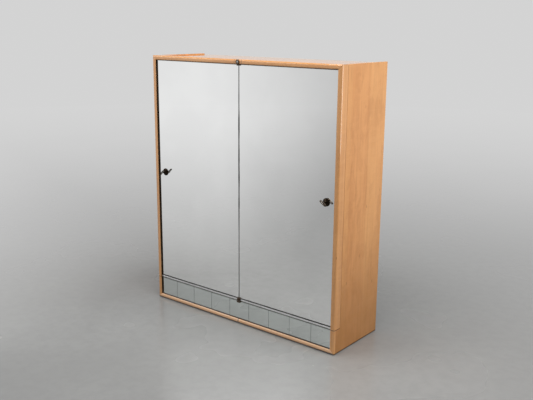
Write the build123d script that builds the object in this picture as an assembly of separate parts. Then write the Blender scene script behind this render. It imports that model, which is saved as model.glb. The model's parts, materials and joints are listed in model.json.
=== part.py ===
from build123d import *
import math
import os

# Two-door armoire, in millimetres. Origin: centre of the footprint, on the floor.
# +X is right as seen from the front, -Y is the front, +Z is up.
# The doors and their fittings are drawn for the right-hand side and mirrored for the left.

# ---------------------------------------------------------------- driving dimensions
WIDTH = 1600.0
HEIGHT = 1810.0
DEPTH = 510.0              # wooden body, front moulding to back
GRIP_REACH = 48.0          # grip, measured out from the mirror
MIRROR_RECESS = 12.0       # mirror face behind the front of the mouldings
MOULDING_WIDTH = 31.0      # outer strip of each door, and of the plinth
DOOR_DEPTH = 62.0
DOOR_GAP = 2.0             # door back to the edges of the side panels
TOP_RAIL_HEIGHT = 29.0
PLINTH_TOP = 165.0         # underside of the doors, less the running gap
BOTTOM_MOULDING_TOP = 36.0
GLIDE_HEIGHT = 3.0
GLIDE_RADIUS = 8.0
OUTER_ROUND = 10.0         # front edges of the mouldings, away from the mirrors
RAIL_LOWER_ROUND = 7.0
INNER_ROUND = 2.0          # front edges beside the mirrors
EDGE_ROUND = 1.5           # other edges that a hand meets
MITRE_GAP = 1.0            # door moulding below the top rail, measured upright

PANEL = 22.0               # side, top and bottom boards
PARTITION = 18.0
SHELF = 18.0
PLINTH_BOARD = 18.0        # front and back boards of the plinth
BACK_THICKNESS = 8.0
BACK_PANEL_BOTTOM = 60.0
TOP_BOARD_DROP = 8.0       # top board below the upper edges of the sides
SKIN = 6.0                 # plywood skins of the doors
GLASS = 5.0
SEAM = 4.0                 # gap between the two doors
SHOE = 2.5                 # thickness of the pivot plates
CHANNEL_LIP = 11.0         # bright lip under each mirror
CHANNEL_FLANGE = 1.5       # thickness of the channel's flange, under the glass
CHANNEL_REACH = 2.5        # front of the lip, in front of the mirror face
CHANNEL_PLAY = 0.5         # end of the channel to the outer stile
GASKET = 16.0              # dark strip between the lip and the mirror
GASKET_THICKNESS = 1.0

PIVOT_X = 7.0              # pivot axes, either side of the centre line
PIVOT_OFFSET = 6.0         # pivot axes in front of the mirror face
PIN_RADIUS = 2.5
KNUCKLE_RADIUS = 5.6
RUNNING_CLEARANCE = 0.05   # radial, pins and spindles in their bores
BOTTOM_KNUCKLE = 21.0
TOP_KNUCKLE = 9.0
LEDGE_PLATE = 2.0          # bottom bracket's plate, on the ledge under the doors
GAP_BELOW_DOOR = 2.0
GAP_ABOVE_DOOR = 1.0
BRACKET_HALF = 30.0        # half widths of the brackets, and of their tongues to the front
TONGUE_HALF = 14.0
BRACKET_BACK = 52.0        # back edge of both brackets, behind the front
BRACKET_SCREWS = (22.0, 38.0)  # beside the centre line, and behind the front
NOSE_HEIGHT = 11.0         # bottom bracket, in front of the tiles
BOSS_RADIUS = 14.5
BOSS_REACH = 6.0           # round boss, in front of the top rail
BOSS_RECESS = 4.0
CAP_RADIUS = 7.5
CAP_RIM = 1.5
DOME_RADIUS = 9.8
DOME_HEIGHT = 2.3          # cap screw's dome, above its rim

HANDLE_X = 705.0
HANDLE_Z = 981.0
SPINDLE_RADIUS = 4.0
ROSETTE_RADIUS = 26.0
ROSETTE_HEIGHT = 11.0
RING_LENGTH = 54.0
RING_DEPTH = 20.0
RING_BAR = 5.0
RING_THICKNESS = 6.0
LEFT_GRIP_TILT = 45.0      # grip plane, from horizontal
RIGHT_GRIP_TILT = 36.0
TONGUE_DROP = 60.0
TONGUE_HALF_WIDTH = 7.0
TONGUE_THICKNESS = 3.0
TONGUE_STANDOFF = 12.4     # tongue behind the door's back
PLATE_THICKNESS = 3.0      # inner handle plate
COLLAR_RADIUS = 9.0
COLLAR_HEIGHT = 12.0
NECK_GAP = 0.4             # rosette to the grip's neck
NECK_START_RADIUS = 7.2
NECK_END_RADIUS = 4.2
KEEPER_SETBACK = 68.0      # keeper's lip, behind the front
KEEPER_HALF = 22.0
KEEPER_PLATE = 2.0
KEEPER_SCREW = 14.0        # above and below the keeper's middle
SMALL_HEAD = 3.2           # head radius of the screws in the fittings

# ---------------------------------------------------------------- derived planes
OVERALL_DEPTH = DEPTH + GRIP_REACH - MIRROR_RECESS
BACK = OVERALL_DEPTH / 2
FRONT = BACK - DEPTH
MIRROR = FRONT + MIRROR_RECESS
GLASS_BACK = MIRROR + GLASS
CORE_FRONT = GLASS_BACK + SKIN
DOOR_BACK = FRONT + DOOR_DEPTH
CORE_BACK = DOOR_BACK - SKIN
CARCASS_FRONT = DOOR_BACK + DOOR_GAP
BACK_FACE = BACK - BACK_THICKNESS          # inner face of the back panels

HALF = WIDTH / 2
SIDE_INNER = HALF - PANEL
STRIP_INNER = HALF - MOULDING_WIDTH
HALF_SEAM = SEAM / 2
RAIL_BOTTOM = HEIGHT - TOP_RAIL_HEIGHT
TOP_BOARD_TOP = HEIGHT - TOP_BOARD_DROP
FLOOR_TOP = PLINTH_TOP - LEDGE_PLATE       # top of the bottom board, inside
DOOR_METAL_BOTTOM = PLINTH_TOP + GAP_BELOW_DOOR
DOOR_BOTTOM = DOOR_METAL_BOTTOM + SHOE
DOOR_METAL_TOP = RAIL_BOTTOM - GAP_ABOVE_DOOR
DOOR_TOP = DOOR_METAL_TOP - SHOE
PIVOT_Y = MIRROR - PIVOT_OFFSET
BOSS_Z = (RAIL_BOTTOM + HEIGHT) / 2
BOSS_FRONT = FRONT - BOSS_REACH
KEEPER_FRONT = FRONT + KEEPER_SETBACK
TONGUE_FRONT = DOOR_BACK + TONGUE_STANDOFF
NECK_START = MIRROR - ROSETTE_HEIGHT - NECK_GAP

RABBET = 10.0              # depth of the back panels' rabbet in the sides
INNER_STILE = 30.0
CROSS_RAIL = 70.0
LOCK_RAIL = 120.0
TILE_PITCH = 175.0
TILE_JOINT = 1.2
FULL_TILES = 7
TILE_MARGIN = 1.0          # tiles above the bottom moulding's top line

HAT_SHELF_Z = 1520.0
SHELF_LEVELS = (600.0, 1060.0, HAT_SHELF_Z)
SHELF_FRONT = FRONT + 110.0
SHELF_PLAY = 1.0
PIN_ROWS = (SHELF_FRONT + 45.0, BACK - 70.0)
RAIL_Z = 1430.0
RAIL_Y = (CARCASS_FRONT + BACK_FACE) / 2
RAIL_RADIUS = 12.5
RAIL_WALL = 1.5
FLANGE_RADIUS = 27.0
FLANGE = 3.0               # thickness of the rail sockets' flanges
SOCKET_SCREW = 20.0        # above and below the rail's axis
LIP_START = 16.0           # channel lip, from the centre line
FLANGE_START = 64.0        # channel flange, clear of the pivot shoe
SPINDLE_WAY = 7.0          # radius of the hole through the door for the spindle
PANEL_SCREW_START = 120.0  # lowest back panel screw
PANEL_SCREW_PITCH = 280.0
PANEL_SCREW_ROWS = 7
PANEL_SCREW_COLUMNS = (150.0, 400.0, 650.0)
BUMPER_LEVELS = (300.0, 980.0, 1660.0)

parts = {}


# ---------------------------------------------------------------- helpers
def block(x, y, z):
    """Box between two limits on each axis."""
    size = [high - low for low, high in (x, y, z)]
    centre = [(low + high) / 2 for low, high in (x, y, z)]
    return Pos(*centre) * Box(*size)


def rod(start, direction, radius, length):
    """Cylinder from a point along a direction."""
    plane = Plane(origin=start, z_dir=direction)
    return plane * Pos(0, 0, length / 2) * Cylinder(radius, length)


def screw(point, direction, length=16.0, head=SMALL_HEAD, shank=1.6):
    """Countersunk screw: the head's flat top is at the point and the shank runs along the direction."""
    plane = Plane(origin=point, z_dir=direction)
    head_height = 2.2
    cone = Pos(0, 0, head_height / 2) * Cone(head, shank, head_height)
    body = Pos(0, 0, length / 2) * Cylinder(shank, length)
    return plane * (cone + body)


def group(solids):
    """Several separate solids that share one node."""
    return Compound(children=[shape.solid() for shape in solids])


def mirrored(shape):
    """The left-hand twin of a right-hand shape."""
    return mirror(shape, about=Plane.YZ)


def both_sides(name, shape):
    """Add a right-hand shape and its left-hand mirror image."""
    parts["right_" + name] = shape
    parts["left_" + name] = mirrored(shape)


def round_edges(shape, axis, radius, pick):
    """Fillet the edges that run along an axis and that pick() accepts by their centre."""
    chosen = [edge for edge in shape.edges().filter_by(axis) if pick(edge.center())]
    return fillet(chosen, radius)


def cut_all(shape, tools):
    for tool in tools:
        shape = shape - tool
    return shape


# ---------------------------------------------------------------- fastener positions
def shelf_pin_points():
    """Pin centres under every shelf: (x of the panel face, y, z, direction into the panel)."""
    levels = [(z, 1) for z in SHELF_LEVELS] + [(HAT_SHELF_Z, -1)]
    points = []
    for z, bay in levels:
        for y in PIN_ROWS:
            points.append((bay * SIDE_INNER, y, z - PIN_RADIUS, bay))
            points.append((bay * PARTITION / 2, y, z - PIN_RADIUS, -bay))
    return points


def shelf_pins():
    """Round pins, half in the panel and half under the shelf."""
    hold = 8.0
    reach = 10.0
    pins = []
    for x, y, z, into in shelf_pin_points():
        pins.append(rod((x + into * hold, y, z), (-into, 0, 0), PIN_RADIUS, hold + reach))
    return pins


def back_screws():
    """Screws through the back panels into the edges behind them, heads flush."""
    edge = HALF - 0.5 * (PANEL + RABBET)
    rows = [PANEL_SCREW_START + PANEL_SCREW_PITCH * step for step in range(PANEL_SCREW_ROWS)]
    points = [(side * edge, z) for side in (-1, 1) for z in rows[:-1]]
    points += [(side * PARTITION / 4, z) for side in (-1, 1) for z in rows[1:-1]]
    for z in (TOP_BOARD_TOP - PANEL / 2, FLOOR_TOP - PANEL / 2):
        points += [(side * x, z) for side in (-1, 1) for x in PANEL_SCREW_COLUMNS]
    return [screw((x, BACK, z), (0, -1, 0), length=22.0, head=3.6) for x, z in points]


def socket_screws():
    screws = []
    for x, direction in ((-SIDE_INNER + FLANGE, -1), (-PARTITION / 2 - FLANGE, 1)):
        for dz in (-SOCKET_SCREW, SOCKET_SCREW):
            point = (x, RAIL_Y, RAIL_Z + dz)
            screws.append(screw(point, (direction, 0, 0), length=12.0))
    return screws


def keeper_screws():
    screws = []
    for side in (-1, 1):
        for dz in (-KEEPER_SCREW, KEEPER_SCREW):
            point = (side * (SIDE_INNER - KEEPER_PLATE), KEEPER_FRONT + 22.0, HANDLE_Z + dz)
            screws.append(screw(point, (side, 0, 0), length=14.0))
    return screws


def bracket_screws():
    beside, behind = BRACKET_SCREWS
    screws = []
    for x in (-beside, beside):
        screws.append(screw((x, FRONT + behind, PLINTH_TOP), (0, 0, -1)))
        screws.append(screw((x, FRONT + behind, RAIL_BOTTOM), (0, 0, 1)))
    return screws


# ---------------------------------------------------------------- carcass
def side_panel():
    """L-shaped side: full height behind the door, with a foot that runs forward under it."""
    with BuildSketch(Plane.YZ) as outline:
        with BuildLine():
            Polyline(
                (BACK, GLIDE_HEIGHT),
                (BACK, HEIGHT),
                (CARCASS_FRONT, HEIGHT),
                (CARCASS_FRONT, PLINTH_TOP),
                (GLASS_BACK, PLINTH_TOP),
                (GLASS_BACK, GLIDE_HEIGHT),
                close=True,
            )
        make_face()
    panel = Pos(SIDE_INNER, 0, 0) * extrude(outline.sketch, PANEL)
    panel = round_edges(panel, Axis.Y, EDGE_ROUND, lambda c: c.Z > HEIGHT - 1)
    rabbet = block((SIDE_INNER - 1, SIDE_INNER + RABBET), (BACK_FACE, BACK + 1), (0, HEIGHT + 1))
    return panel - rabbet


def cut_side_panel(panel):
    """Pilot holes for the screws and shelf pins that enter a side panel."""
    return cut_all(panel, shelf_pins() + back_screws() + socket_screws() + keeper_screws())


def top_board():
    board = block(
        (-SIDE_INNER, SIDE_INNER), (CARCASS_FRONT, BACK_FACE), (TOP_BOARD_TOP - PANEL, TOP_BOARD_TOP)
    )
    return cut_all(board, back_screws())


def bottom_board():
    """Cabinet floor, which runs forward as a ledge under the doors."""
    board = block((-SIDE_INNER, SIDE_INNER), (GLASS_BACK, BACK_FACE), (FLOOR_TOP - PANEL, FLOOR_TOP))
    return cut_all(board, back_screws() + bracket_screws())


def back_panel():
    joint = 0.5
    panel = block((joint, SIDE_INNER + RABBET), (BACK_FACE, BACK), (BACK_PANEL_BOTTOM, TOP_BOARD_TOP))
    return cut_all(panel, back_screws())


def centre_partition():
    setback = 8.0
    panel = block(
        (-PARTITION / 2, PARTITION / 2),
        (CARCASS_FRONT + setback, BACK_FACE),
        (FLOOR_TOP, TOP_BOARD_TOP - PANEL),
    )
    return cut_all(panel, shelf_pins() + back_screws() + socket_screws())


def top_front_rail():
    """Rounded rail across the front, mitred at both ends to the mouldings of the doors."""
    rail = block((-HALF, HALF), (FRONT, CARCASS_FRONT), (RAIL_BOTTOM, HEIGHT))
    rail = round_edges(rail, Axis.X, OUTER_ROUND, lambda c: c.Y < FRONT + 1 and c.Z > HEIGHT - 1)
    rail = round_edges(rail, Axis.X, RAIL_LOWER_ROUND, lambda c: c.Y < FRONT + 1 and c.Z < RAIL_BOTTOM + 1)
    corner = mitre_wedge((STRIP_INNER, RAIL_BOTTOM), (HALF, HEIGHT), below=True)
    boss_play = 0.3
    seat = rod((0, BOSS_FRONT, BOSS_Z), (0, 1, 0), BOSS_RADIUS + boss_play, BOSS_REACH + SHOE)
    cuts = [corner, mirrored(corner), seat, bracket_plate(), cap_screw()]
    return cut_all(rail, cuts + bracket_screws() + top_pins())


def round_upright(strip):
    """Round the two front edges of an upright moulding."""
    strip = round_edges(strip, Axis.Z, OUTER_ROUND, lambda c: c.Y < FRONT + 1 and c.X > HALF - 1)
    return round_edges(strip, Axis.Z, INNER_ROUND, lambda c: c.Y < FRONT + 1 and c.X < STRIP_INNER + 1)


def plinth_side_moulding():
    """Upright moulding at the end of the plinth, mitred to the bottom moulding."""
    strip = block((STRIP_INNER, HALF), (FRONT, GLASS_BACK), (GLIDE_HEIGHT, PLINTH_TOP))
    strip = round_upright(strip)
    inner = (STRIP_INNER, BOTTOM_MOULDING_TOP)
    return strip - mitre_wedge(inner, (HALF, GLIDE_HEIGHT), below=True)


def bottom_moulding():
    """Half of the moulding along the floor, from the centre joint to the mitre."""
    centre_joint = 0.3
    tile_reveal = 1.5
    top = BOTTOM_MOULDING_TOP - tile_reveal
    strip = block((centre_joint, HALF), (FRONT, GLASS_BACK), (GLIDE_HEIGHT, top))
    middle = BOTTOM_MOULDING_TOP / 2
    strip = round_edges(strip, Axis.X, OUTER_ROUND, lambda c: c.Y < FRONT + 1 and c.Z > middle)
    strip = round_edges(strip, Axis.X, RAIL_LOWER_ROUND, lambda c: c.Y < FRONT + 1 and c.Z < middle)
    inner = (STRIP_INNER, BOTTOM_MOULDING_TOP)
    return strip - mitre_wedge(inner, (HALF, GLIDE_HEIGHT), below=False)


def mitre_wedge(inner, outer, below):
    """Everything below (or above) the mitre line between two corners, seen from the front."""
    far = 200.0
    dx = outer[0] - inner[0]
    dz = outer[1] - inner[1]
    start = (inner[0] - dx, inner[1] - dz)
    end = (outer[0] + dx, outer[1] + dz)
    shift = -far if below else far
    with BuildSketch(Plane.XZ) as wedge:
        with BuildLine():
            Polyline(start, end, (end[0], end[1] + shift), (start[0], start[1] + shift), close=True)
        make_face()
    return extrude(wedge.sketch, amount=OVERALL_DEPTH, both=True)


def plinth_front_board():
    depth = (GLASS_BACK, GLASS_BACK + PLINTH_BOARD)
    return block((-SIDE_INNER, SIDE_INNER), depth, (GLIDE_HEIGHT, FLOOR_TOP - PANEL))


def plinth_back_rail():
    depth = (BACK_FACE - PLINTH_BOARD, BACK_FACE)
    return block((-SIDE_INNER, SIDE_INNER), depth, (GLIDE_HEIGHT, FLOOR_TOP - PANEL))


def plinth_centre_support():
    return block(
        (-PARTITION / 2, PARTITION / 2),
        (GLASS_BACK + PLINTH_BOARD, BACK_FACE - PLINTH_BOARD),
        (GLIDE_HEIGHT, FLOOR_TOP - PANEL),
    )


def plinth_mirror_tiles():
    """Row of square mirror tiles with a cut tile at each end."""
    joints = [TILE_PITCH * (step - FULL_TILES / 2) for step in range(FULL_TILES + 1)]
    edges = [-STRIP_INNER] + joints + [STRIP_INNER]
    tiles = []
    for left, right in zip(edges[:-1], edges[1:]):
        low = left + TILE_JOINT / 2
        high = right - TILE_JOINT / 2
        upright = (BOTTOM_MOULDING_TOP + TILE_MARGIN, FLOOR_TOP)
        tiles.append(block((low, high), (MIRROR, GLASS_BACK), upright))
    return group(tiles)


def floor_glides():
    """Low discs under the sides and under the plinth's centre support."""
    side_rows = (FRONT + 40, BACK - 40)
    centre_rows = (FRONT + 90, BACK - 70)
    spots = [(side * (HALF - PANEL / 2), y) for side in (-1, 1) for y in side_rows]
    spots += [(0, y) for y in centre_rows]
    return group([rod((x, y, 0), (0, 0, 1), GLIDE_RADIUS, GLIDE_HEIGHT) for x, y in spots])


def door_bumpers():
    """Thin rubber buttons on the edges of the side panels."""
    radius = 4.0
    height = DOOR_GAP - 0.5
    buttons = []
    for side in (-1, 1):
        for z in BUMPER_LEVELS:
            start = (side * (HALF - PANEL / 2), CARCASS_FRONT, z)
            buttons.append(rod(start, (0, -1, 0), radius, height))
    return group(buttons)


# ---------------------------------------------------------------- centre pivots
def top_pins():
    """Plain pins, driven up into the rail, that reach down into the top knuckles."""
    start = RAIL_BOTTOM + SHOE + 5.0
    end = DOOR_METAL_TOP - TOP_KNUCKLE + 1.0
    return [rod((x, PIVOT_Y, start), (0, 0, -1), PIN_RADIUS, start - end) for x in (-PIVOT_X, PIVOT_X)]


def bottom_pins():
    """Pins with a shoulder that carries the door."""
    start = PLINTH_TOP - NOSE_HEIGHT + 2.0
    end = DOOR_METAL_BOTTOM + BOTTOM_KNUCKLE - 2.0
    shoulder_height = GAP_BELOW_DOOR - 0.3
    pins = []
    for x in (-PIVOT_X, PIVOT_X):
        shank = rod((x, PIVOT_Y, start), (0, 0, 1), PIN_RADIUS, end - start)
        shoulder = rod((x, PIVOT_Y, PLINTH_TOP), (0, 0, 1), 4.5, shoulder_height)
        pins.append(shank + shoulder)
    return pins


def cap_screw():
    """Domed screw that sits in the recess of the round boss."""
    rim = BOSS_FRONT + BOSS_RECESS - CAP_RIM
    head = rod((0, rim, BOSS_Z), (0, 1, 0), CAP_RADIUS, CAP_RIM)
    dome = Pos(0, rim - DOME_HEIGHT + DOME_RADIUS, BOSS_Z) * Sphere(DOME_RADIUS)
    dome = dome & rod((0, rim, BOSS_Z), (0, -1, 0), CAP_RADIUS, 2 * DOME_HEIGHT)
    shank = rod((0, rim, BOSS_Z), (0, 1, 0), PIN_RADIUS, 26.0)
    return head + dome + shank


def bracket_plate():
    """Plate let in flush under the top rail."""
    upright = (RAIL_BOTTOM, RAIL_BOTTOM + SHOE)
    back = FRONT + BRACKET_BACK
    tongue = block((-TONGUE_HALF, TONGUE_HALF), (BOSS_FRONT + BOSS_RECESS, back), upright)
    wings = block((-BRACKET_HALF, BRACKET_HALF), (back - 26.0, back), upright)
    return tongue + wings


def top_pivot_bracket():
    """Plate under the top rail with a round, hollow boss on the rail's front."""
    boss = rod((0, BOSS_FRONT, BOSS_Z), (0, 1, 0), BOSS_RADIUS, BOSS_REACH + SHOE)
    rim_play = 1.2
    boss = boss - rod((0, BOSS_FRONT, BOSS_Z), (0, 1, 0), CAP_RADIUS + rim_play, BOSS_RECESS)
    bracket = bracket_plate() + boss
    return cut_all(bracket - cap_screw(), bracket_screws() + top_pins())


def bottom_pivot_bracket():
    """Plate on the ledge under the doors, with a nose in front of the tiles."""
    plate = block((-BRACKET_HALF, BRACKET_HALF), (MIRROR, FRONT + BRACKET_BACK), (FLOOR_TOP, PLINTH_TOP))
    nose_front = FRONT + 0.4
    nose_height = (PLINTH_TOP - NOSE_HEIGHT, PLINTH_TOP)
    nose = block((-TONGUE_HALF, TONGUE_HALF), (nose_front, MIRROR), nose_height)
    nose = round_edges(nose, Axis.Z, 4.0, lambda c: c.Y < FRONT + 1)
    return cut_all(plate + nose, bracket_screws() + bottom_pins())


# ---------------------------------------------------------------- interior
def shelf(z, bay):
    """Loose shelf in the right-hand bay (bay 1) or the left-hand bay (bay -1)."""
    low = PARTITION / 2 + SHELF_PLAY
    high = SIDE_INNER - SHELF_PLAY
    board = block((low, high), (SHELF_FRONT, BACK_FACE - SHELF_PLAY), (z, z + SHELF))
    board = round_edges(board, Axis.X, EDGE_ROUND, lambda c: c.Y < SHELF_FRONT + 1)
    return board if bay > 0 else mirrored(board)


def hanging_rail():
    start = (-SIDE_INNER + FLANGE, RAIL_Y, RAIL_Z)
    length = SIDE_INNER - PARTITION / 2 - 2 * FLANGE
    tube = rod(start, (1, 0, 0), RAIL_RADIUS, length)
    return tube - rod(start, (1, 0, 0), RAIL_RADIUS - RAIL_WALL, length)


def rail_sockets():
    """Flange with a collar round each end of the hanging rail."""
    collar_radius = RAIL_RADIUS + 3.0
    collar_length = 14.0
    bore_radius = RAIL_RADIUS + 0.02
    sockets = []
    for x, direction in ((-SIDE_INNER, 1), (-PARTITION / 2, -1)):
        start = (x, RAIL_Y, RAIL_Z)
        seat = (x + FLANGE * direction, RAIL_Y, RAIL_Z)
        flange = rod(start, (direction, 0, 0), FLANGE_RADIUS, FLANGE)
        collar = rod(start, (direction, 0, 0), collar_radius, collar_length)
        bore = rod(seat, (direction, 0, 0), bore_radius, collar_length)
        sockets.append(cut_all(flange + collar - bore, socket_screws()))
    return group(sockets)


def keeper():
    """Angle on the side panel that the latch tongue turns in behind."""
    tall = (HANDLE_Z - KEEPER_HALF, HANDLE_Z + KEEPER_HALF)
    base = block((SIDE_INNER - KEEPER_PLATE, SIDE_INNER), (KEEPER_FRONT, KEEPER_FRONT + 32.0), tall)
    lip = block((SIDE_INNER - 18.0, SIDE_INNER), (KEEPER_FRONT, KEEPER_FRONT + 2.5), tall)
    return cut_all(base + lip, keeper_screws())


# ---------------------------------------------------------------- doors (right-hand)
def door_screws():
    """Screws of the pivot shoes, the mirror channel and the inner handle plate."""
    shoe_y = FRONT + 40.0
    channel_y = FRONT + 34.0
    channel_x = 100.0
    channel_screws = 5
    channel_step = (STRIP_INNER - 140.0) / (channel_screws - 1)
    plate_circle = 16.0
    screws = []
    for x in (17.0, 50.0):
        screws.append(screw((x, shoe_y, DOOR_METAL_BOTTOM), (0, 0, 1)))
        screws.append(screw((x, shoe_y, DOOR_METAL_TOP), (0, 0, -1)))
    for step in range(channel_screws):
        point = (channel_x + channel_step * step, channel_y, DOOR_BOTTOM - CHANNEL_FLANGE)
        screws.append(screw(point, (0, 0, 1), head=3.0, shank=1.3))
    for angle in (90.0, 210.0, 330.0):
        x = HANDLE_X + plate_circle * math.cos(math.radians(angle))
        z = HANDLE_Z + plate_circle * math.sin(math.radians(angle))
        screws.append(screw((x, DOOR_BACK + PLATE_THICKNESS, z), (0, -1, 0)))
    return screws


def spindle_way(radius):
    """Bore on the spindle's axis, longer than the door is deep."""
    return rod((HANDLE_X, FRONT - DOOR_DEPTH, HANDLE_Z), (0, 1, 0), radius, 4 * DOOR_DEPTH)


def outer_stile():
    """Solid strip that frames the outer edge of the door, proud of the mirror and mitred to the rail."""
    strip = block((STRIP_INNER, HALF), (FRONT, DOOR_BACK), (DOOR_METAL_BOTTOM, HEIGHT))
    strip = round_upright(strip)
    strip = round_edges(strip, Axis.Z, EDGE_ROUND, lambda c: c.Y > DOOR_BACK - 1 and c.X > HALF - 1)
    inner = (STRIP_INNER, RAIL_BOTTOM - MITRE_GAP)
    return strip - mitre_wedge(inner, (HALF, HEIGHT - MITRE_GAP), below=False)


def inner_stile():
    stile = block((HALF_SEAM, HALF_SEAM + INNER_STILE), (CORE_FRONT, CORE_BACK), (DOOR_BOTTOM, DOOR_TOP))
    return cut_all(stile, door_screws())


def cross_rails():
    """Bottom, lock and top rails of the door's frame."""
    levels = (
        (DOOR_BOTTOM, DOOR_BOTTOM + CROSS_RAIL),
        (HANDLE_Z - LOCK_RAIL / 2, HANDLE_Z + LOCK_RAIL / 2),
        (DOOR_TOP - CROSS_RAIL, DOOR_TOP),
    )
    span = (HALF_SEAM + INNER_STILE, STRIP_INNER)
    rails = [block(span, (CORE_FRONT, CORE_BACK), level) for level in levels]
    rails[1] = rails[1] - spindle_way(SPINDLE_WAY)
    return group([cut_all(rail, door_screws()) for rail in rails])


def skin(front):
    face = block((HALF_SEAM, STRIP_INNER), (front, front + SKIN), (DOOR_BOTTOM, DOOR_TOP))
    return cut_all(face - spindle_way(SPINDLE_WAY), door_screws())


def mirror_glass():
    glass = block((HALF_SEAM, STRIP_INNER), (MIRROR, GLASS_BACK), (DOOR_BOTTOM, DOOR_TOP))
    return glass - spindle_way(SPINDLE_WAY)


def mirror_channel():
    """Angle that carries the glass: a flange under the door and a lip in front of the glass."""
    base = DOOR_BOTTOM - CHANNEL_FLANGE
    end = STRIP_INNER - CHANNEL_PLAY
    front = MIRROR - CHANNEL_REACH
    flange = block((FLANGE_START, end), (front, FRONT + 46.0), (base, DOOR_BOTTOM))
    lip = block((LIP_START, end), (front, MIRROR - GASKET_THICKNESS), (base, base + CHANNEL_LIP))
    return cut_all(flange + lip, door_screws())


def mirror_gasket():
    """Dark glazing strip between the lip and the glass."""
    span = (LIP_START, STRIP_INNER - CHANNEL_PLAY)
    return block(span, (MIRROR - GASKET_THICKNESS, MIRROR), (DOOR_BOTTOM, DOOR_BOTTOM + GASKET))


def pivot_shoe(plate_z, knuckle_z):
    """Plate let in against the door's edge with a knuckle in front of the glass."""
    plate_front = MIRROR + 1.0
    plate = block((HALF_SEAM + 0.5, FLANGE_START - 2.0), (plate_front, FRONT + 50.0), plate_z)
    tab = block((PIVOT_X - 4.5, PIVOT_X + KNUCKLE_RADIUS), (PIVOT_Y, plate_front), plate_z)
    low, high = knuckle_z
    knuckle = rod((PIVOT_X, PIVOT_Y, low), (0, 0, 1), KNUCKLE_RADIUS, high - low)
    bore = rod((PIVOT_X, PIVOT_Y, low - 1), (0, 0, 1), PIN_RADIUS + RUNNING_CLEARANCE, high - low + 2)
    return cut_all(plate + tab + knuckle - bore, door_screws())


def pivot_shoes():
    low = DOOR_METAL_BOTTOM
    high = DOOR_METAL_TOP
    bottom = pivot_shoe((low, DOOR_BOTTOM), (low, low + BOTTOM_KNUCKLE))
    top = pivot_shoe((DOOR_TOP, high), (high - TOP_KNUCKLE, high))
    return group([bottom, top])


def rosette():
    """Domed plate on the mirror, with the spindle's front bearing."""
    with BuildSketch(Plane.XY) as profile:
        with BuildLine():
            Polyline((0, 0), (ROSETTE_RADIUS, 0), (ROSETTE_RADIUS, 2.5), (ROSETTE_RADIUS - 2, 3.5))
            ThreePointArc((ROSETTE_RADIUS - 2, 3.5), (15.5, 8.2), (7.5, ROSETTE_HEIGHT))
            Polyline((7.5, ROSETTE_HEIGHT), (0, ROSETTE_HEIGHT), (0, 0))
        make_face()
    dome = revolve(profile.sketch, Axis.Y)
    dome = Pos(HANDLE_X, MIRROR, HANDLE_Z) * Rot(180, 0, 0) * dome
    return dome - spindle_way(SPINDLE_RADIUS + RUNNING_CLEARANCE)


def inner_plate():
    """Flat plate inside the door with the spindle's rear bearing."""
    plate = rod((HANDLE_X, DOOR_BACK, HANDLE_Z), (0, 1, 0), ROSETTE_RADIUS, PLATE_THICKNESS)
    collar = rod((HANDLE_X, DOOR_BACK, HANDLE_Z), (0, 1, 0), COLLAR_RADIUS, COLLAR_HEIGHT)
    return cut_all(plate + collar - spindle_way(SPINDLE_RADIUS + RUNNING_CLEARANCE), door_screws())


# ---------------------------------------------------------------- handles (right-hand)
def grip(tilt):
    """Flat oval ring on a tapered neck, tilted about the spindle."""
    ring_back = MIRROR - GRIP_REACH + RING_DEPTH
    ring_middle = ring_back - RING_DEPTH / 2
    with BuildSketch(Plane.XY) as outline:
        SlotOverall(RING_LENGTH, RING_DEPTH)
        SlotOverall(RING_LENGTH - 2 * RING_BAR, RING_DEPTH - 2 * RING_BAR, mode=Mode.SUBTRACT)
    ring = extrude(outline.sketch, RING_THICKNESS / 2, both=True)
    bar_round = 2.2
    ring = fillet(ring.edges(), bar_round)
    ring = Pos(HANDLE_X, ring_middle, HANDLE_Z) * Rot(0, tilt, 0) * ring
    neck_length = NECK_START - ring_back + 2.0
    plane = Plane(origin=(HANDLE_X, NECK_START, HANDLE_Z), z_dir=(0, -1, 0))
    neck = plane * Pos(0, 0, neck_length / 2) * Cone(NECK_START_RADIUS, NECK_END_RADIUS, neck_length)
    socket = rod((HANDLE_X, NECK_START + 1, HANDLE_Z), (0, -1, 0), SPINDLE_RADIUS / 2, 9.0)
    return ring + neck - socket


def spindle():
    """Shaft through the door, stepped down into the grip and headed behind the tongue."""
    end = TONGUE_FRONT + TONGUE_THICKNESS
    shaft = rod((HANDLE_X, NECK_START, HANDLE_Z), (0, 1, 0), SPINDLE_RADIUS, end - NECK_START)
    nose = rod((HANDLE_X, NECK_START, HANDLE_Z), (0, -1, 0), SPINDLE_RADIUS / 2, 8.0)
    head = rod((HANDLE_X, end, HANDLE_Z), (0, 1, 0), 6.5, 2.0)
    return shaft + nose + head


def latch_tongue():
    """Flat arm that hangs below the spindle and turns outward behind the keeper."""
    foot = HANDLE_Z - TONGUE_DROP
    back = TONGUE_FRONT + TONGUE_THICKNESS
    span = (HANDLE_X - TONGUE_HALF_WIDTH, HANDLE_X + TONGUE_HALF_WIDTH)
    arm = block(span, (TONGUE_FRONT, back), (foot, HANDLE_Z))
    tip = rod((HANDLE_X, TONGUE_FRONT, foot), (0, 1, 0), TONGUE_HALF_WIDTH, TONGUE_THICKNESS)
    hub = rod((HANDLE_X, TONGUE_FRONT, HANDLE_Z), (0, 1, 0), COLLAR_RADIUS, TONGUE_THICKNESS)
    return arm + tip + hub - spindle_way(SPINDLE_RADIUS)


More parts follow.
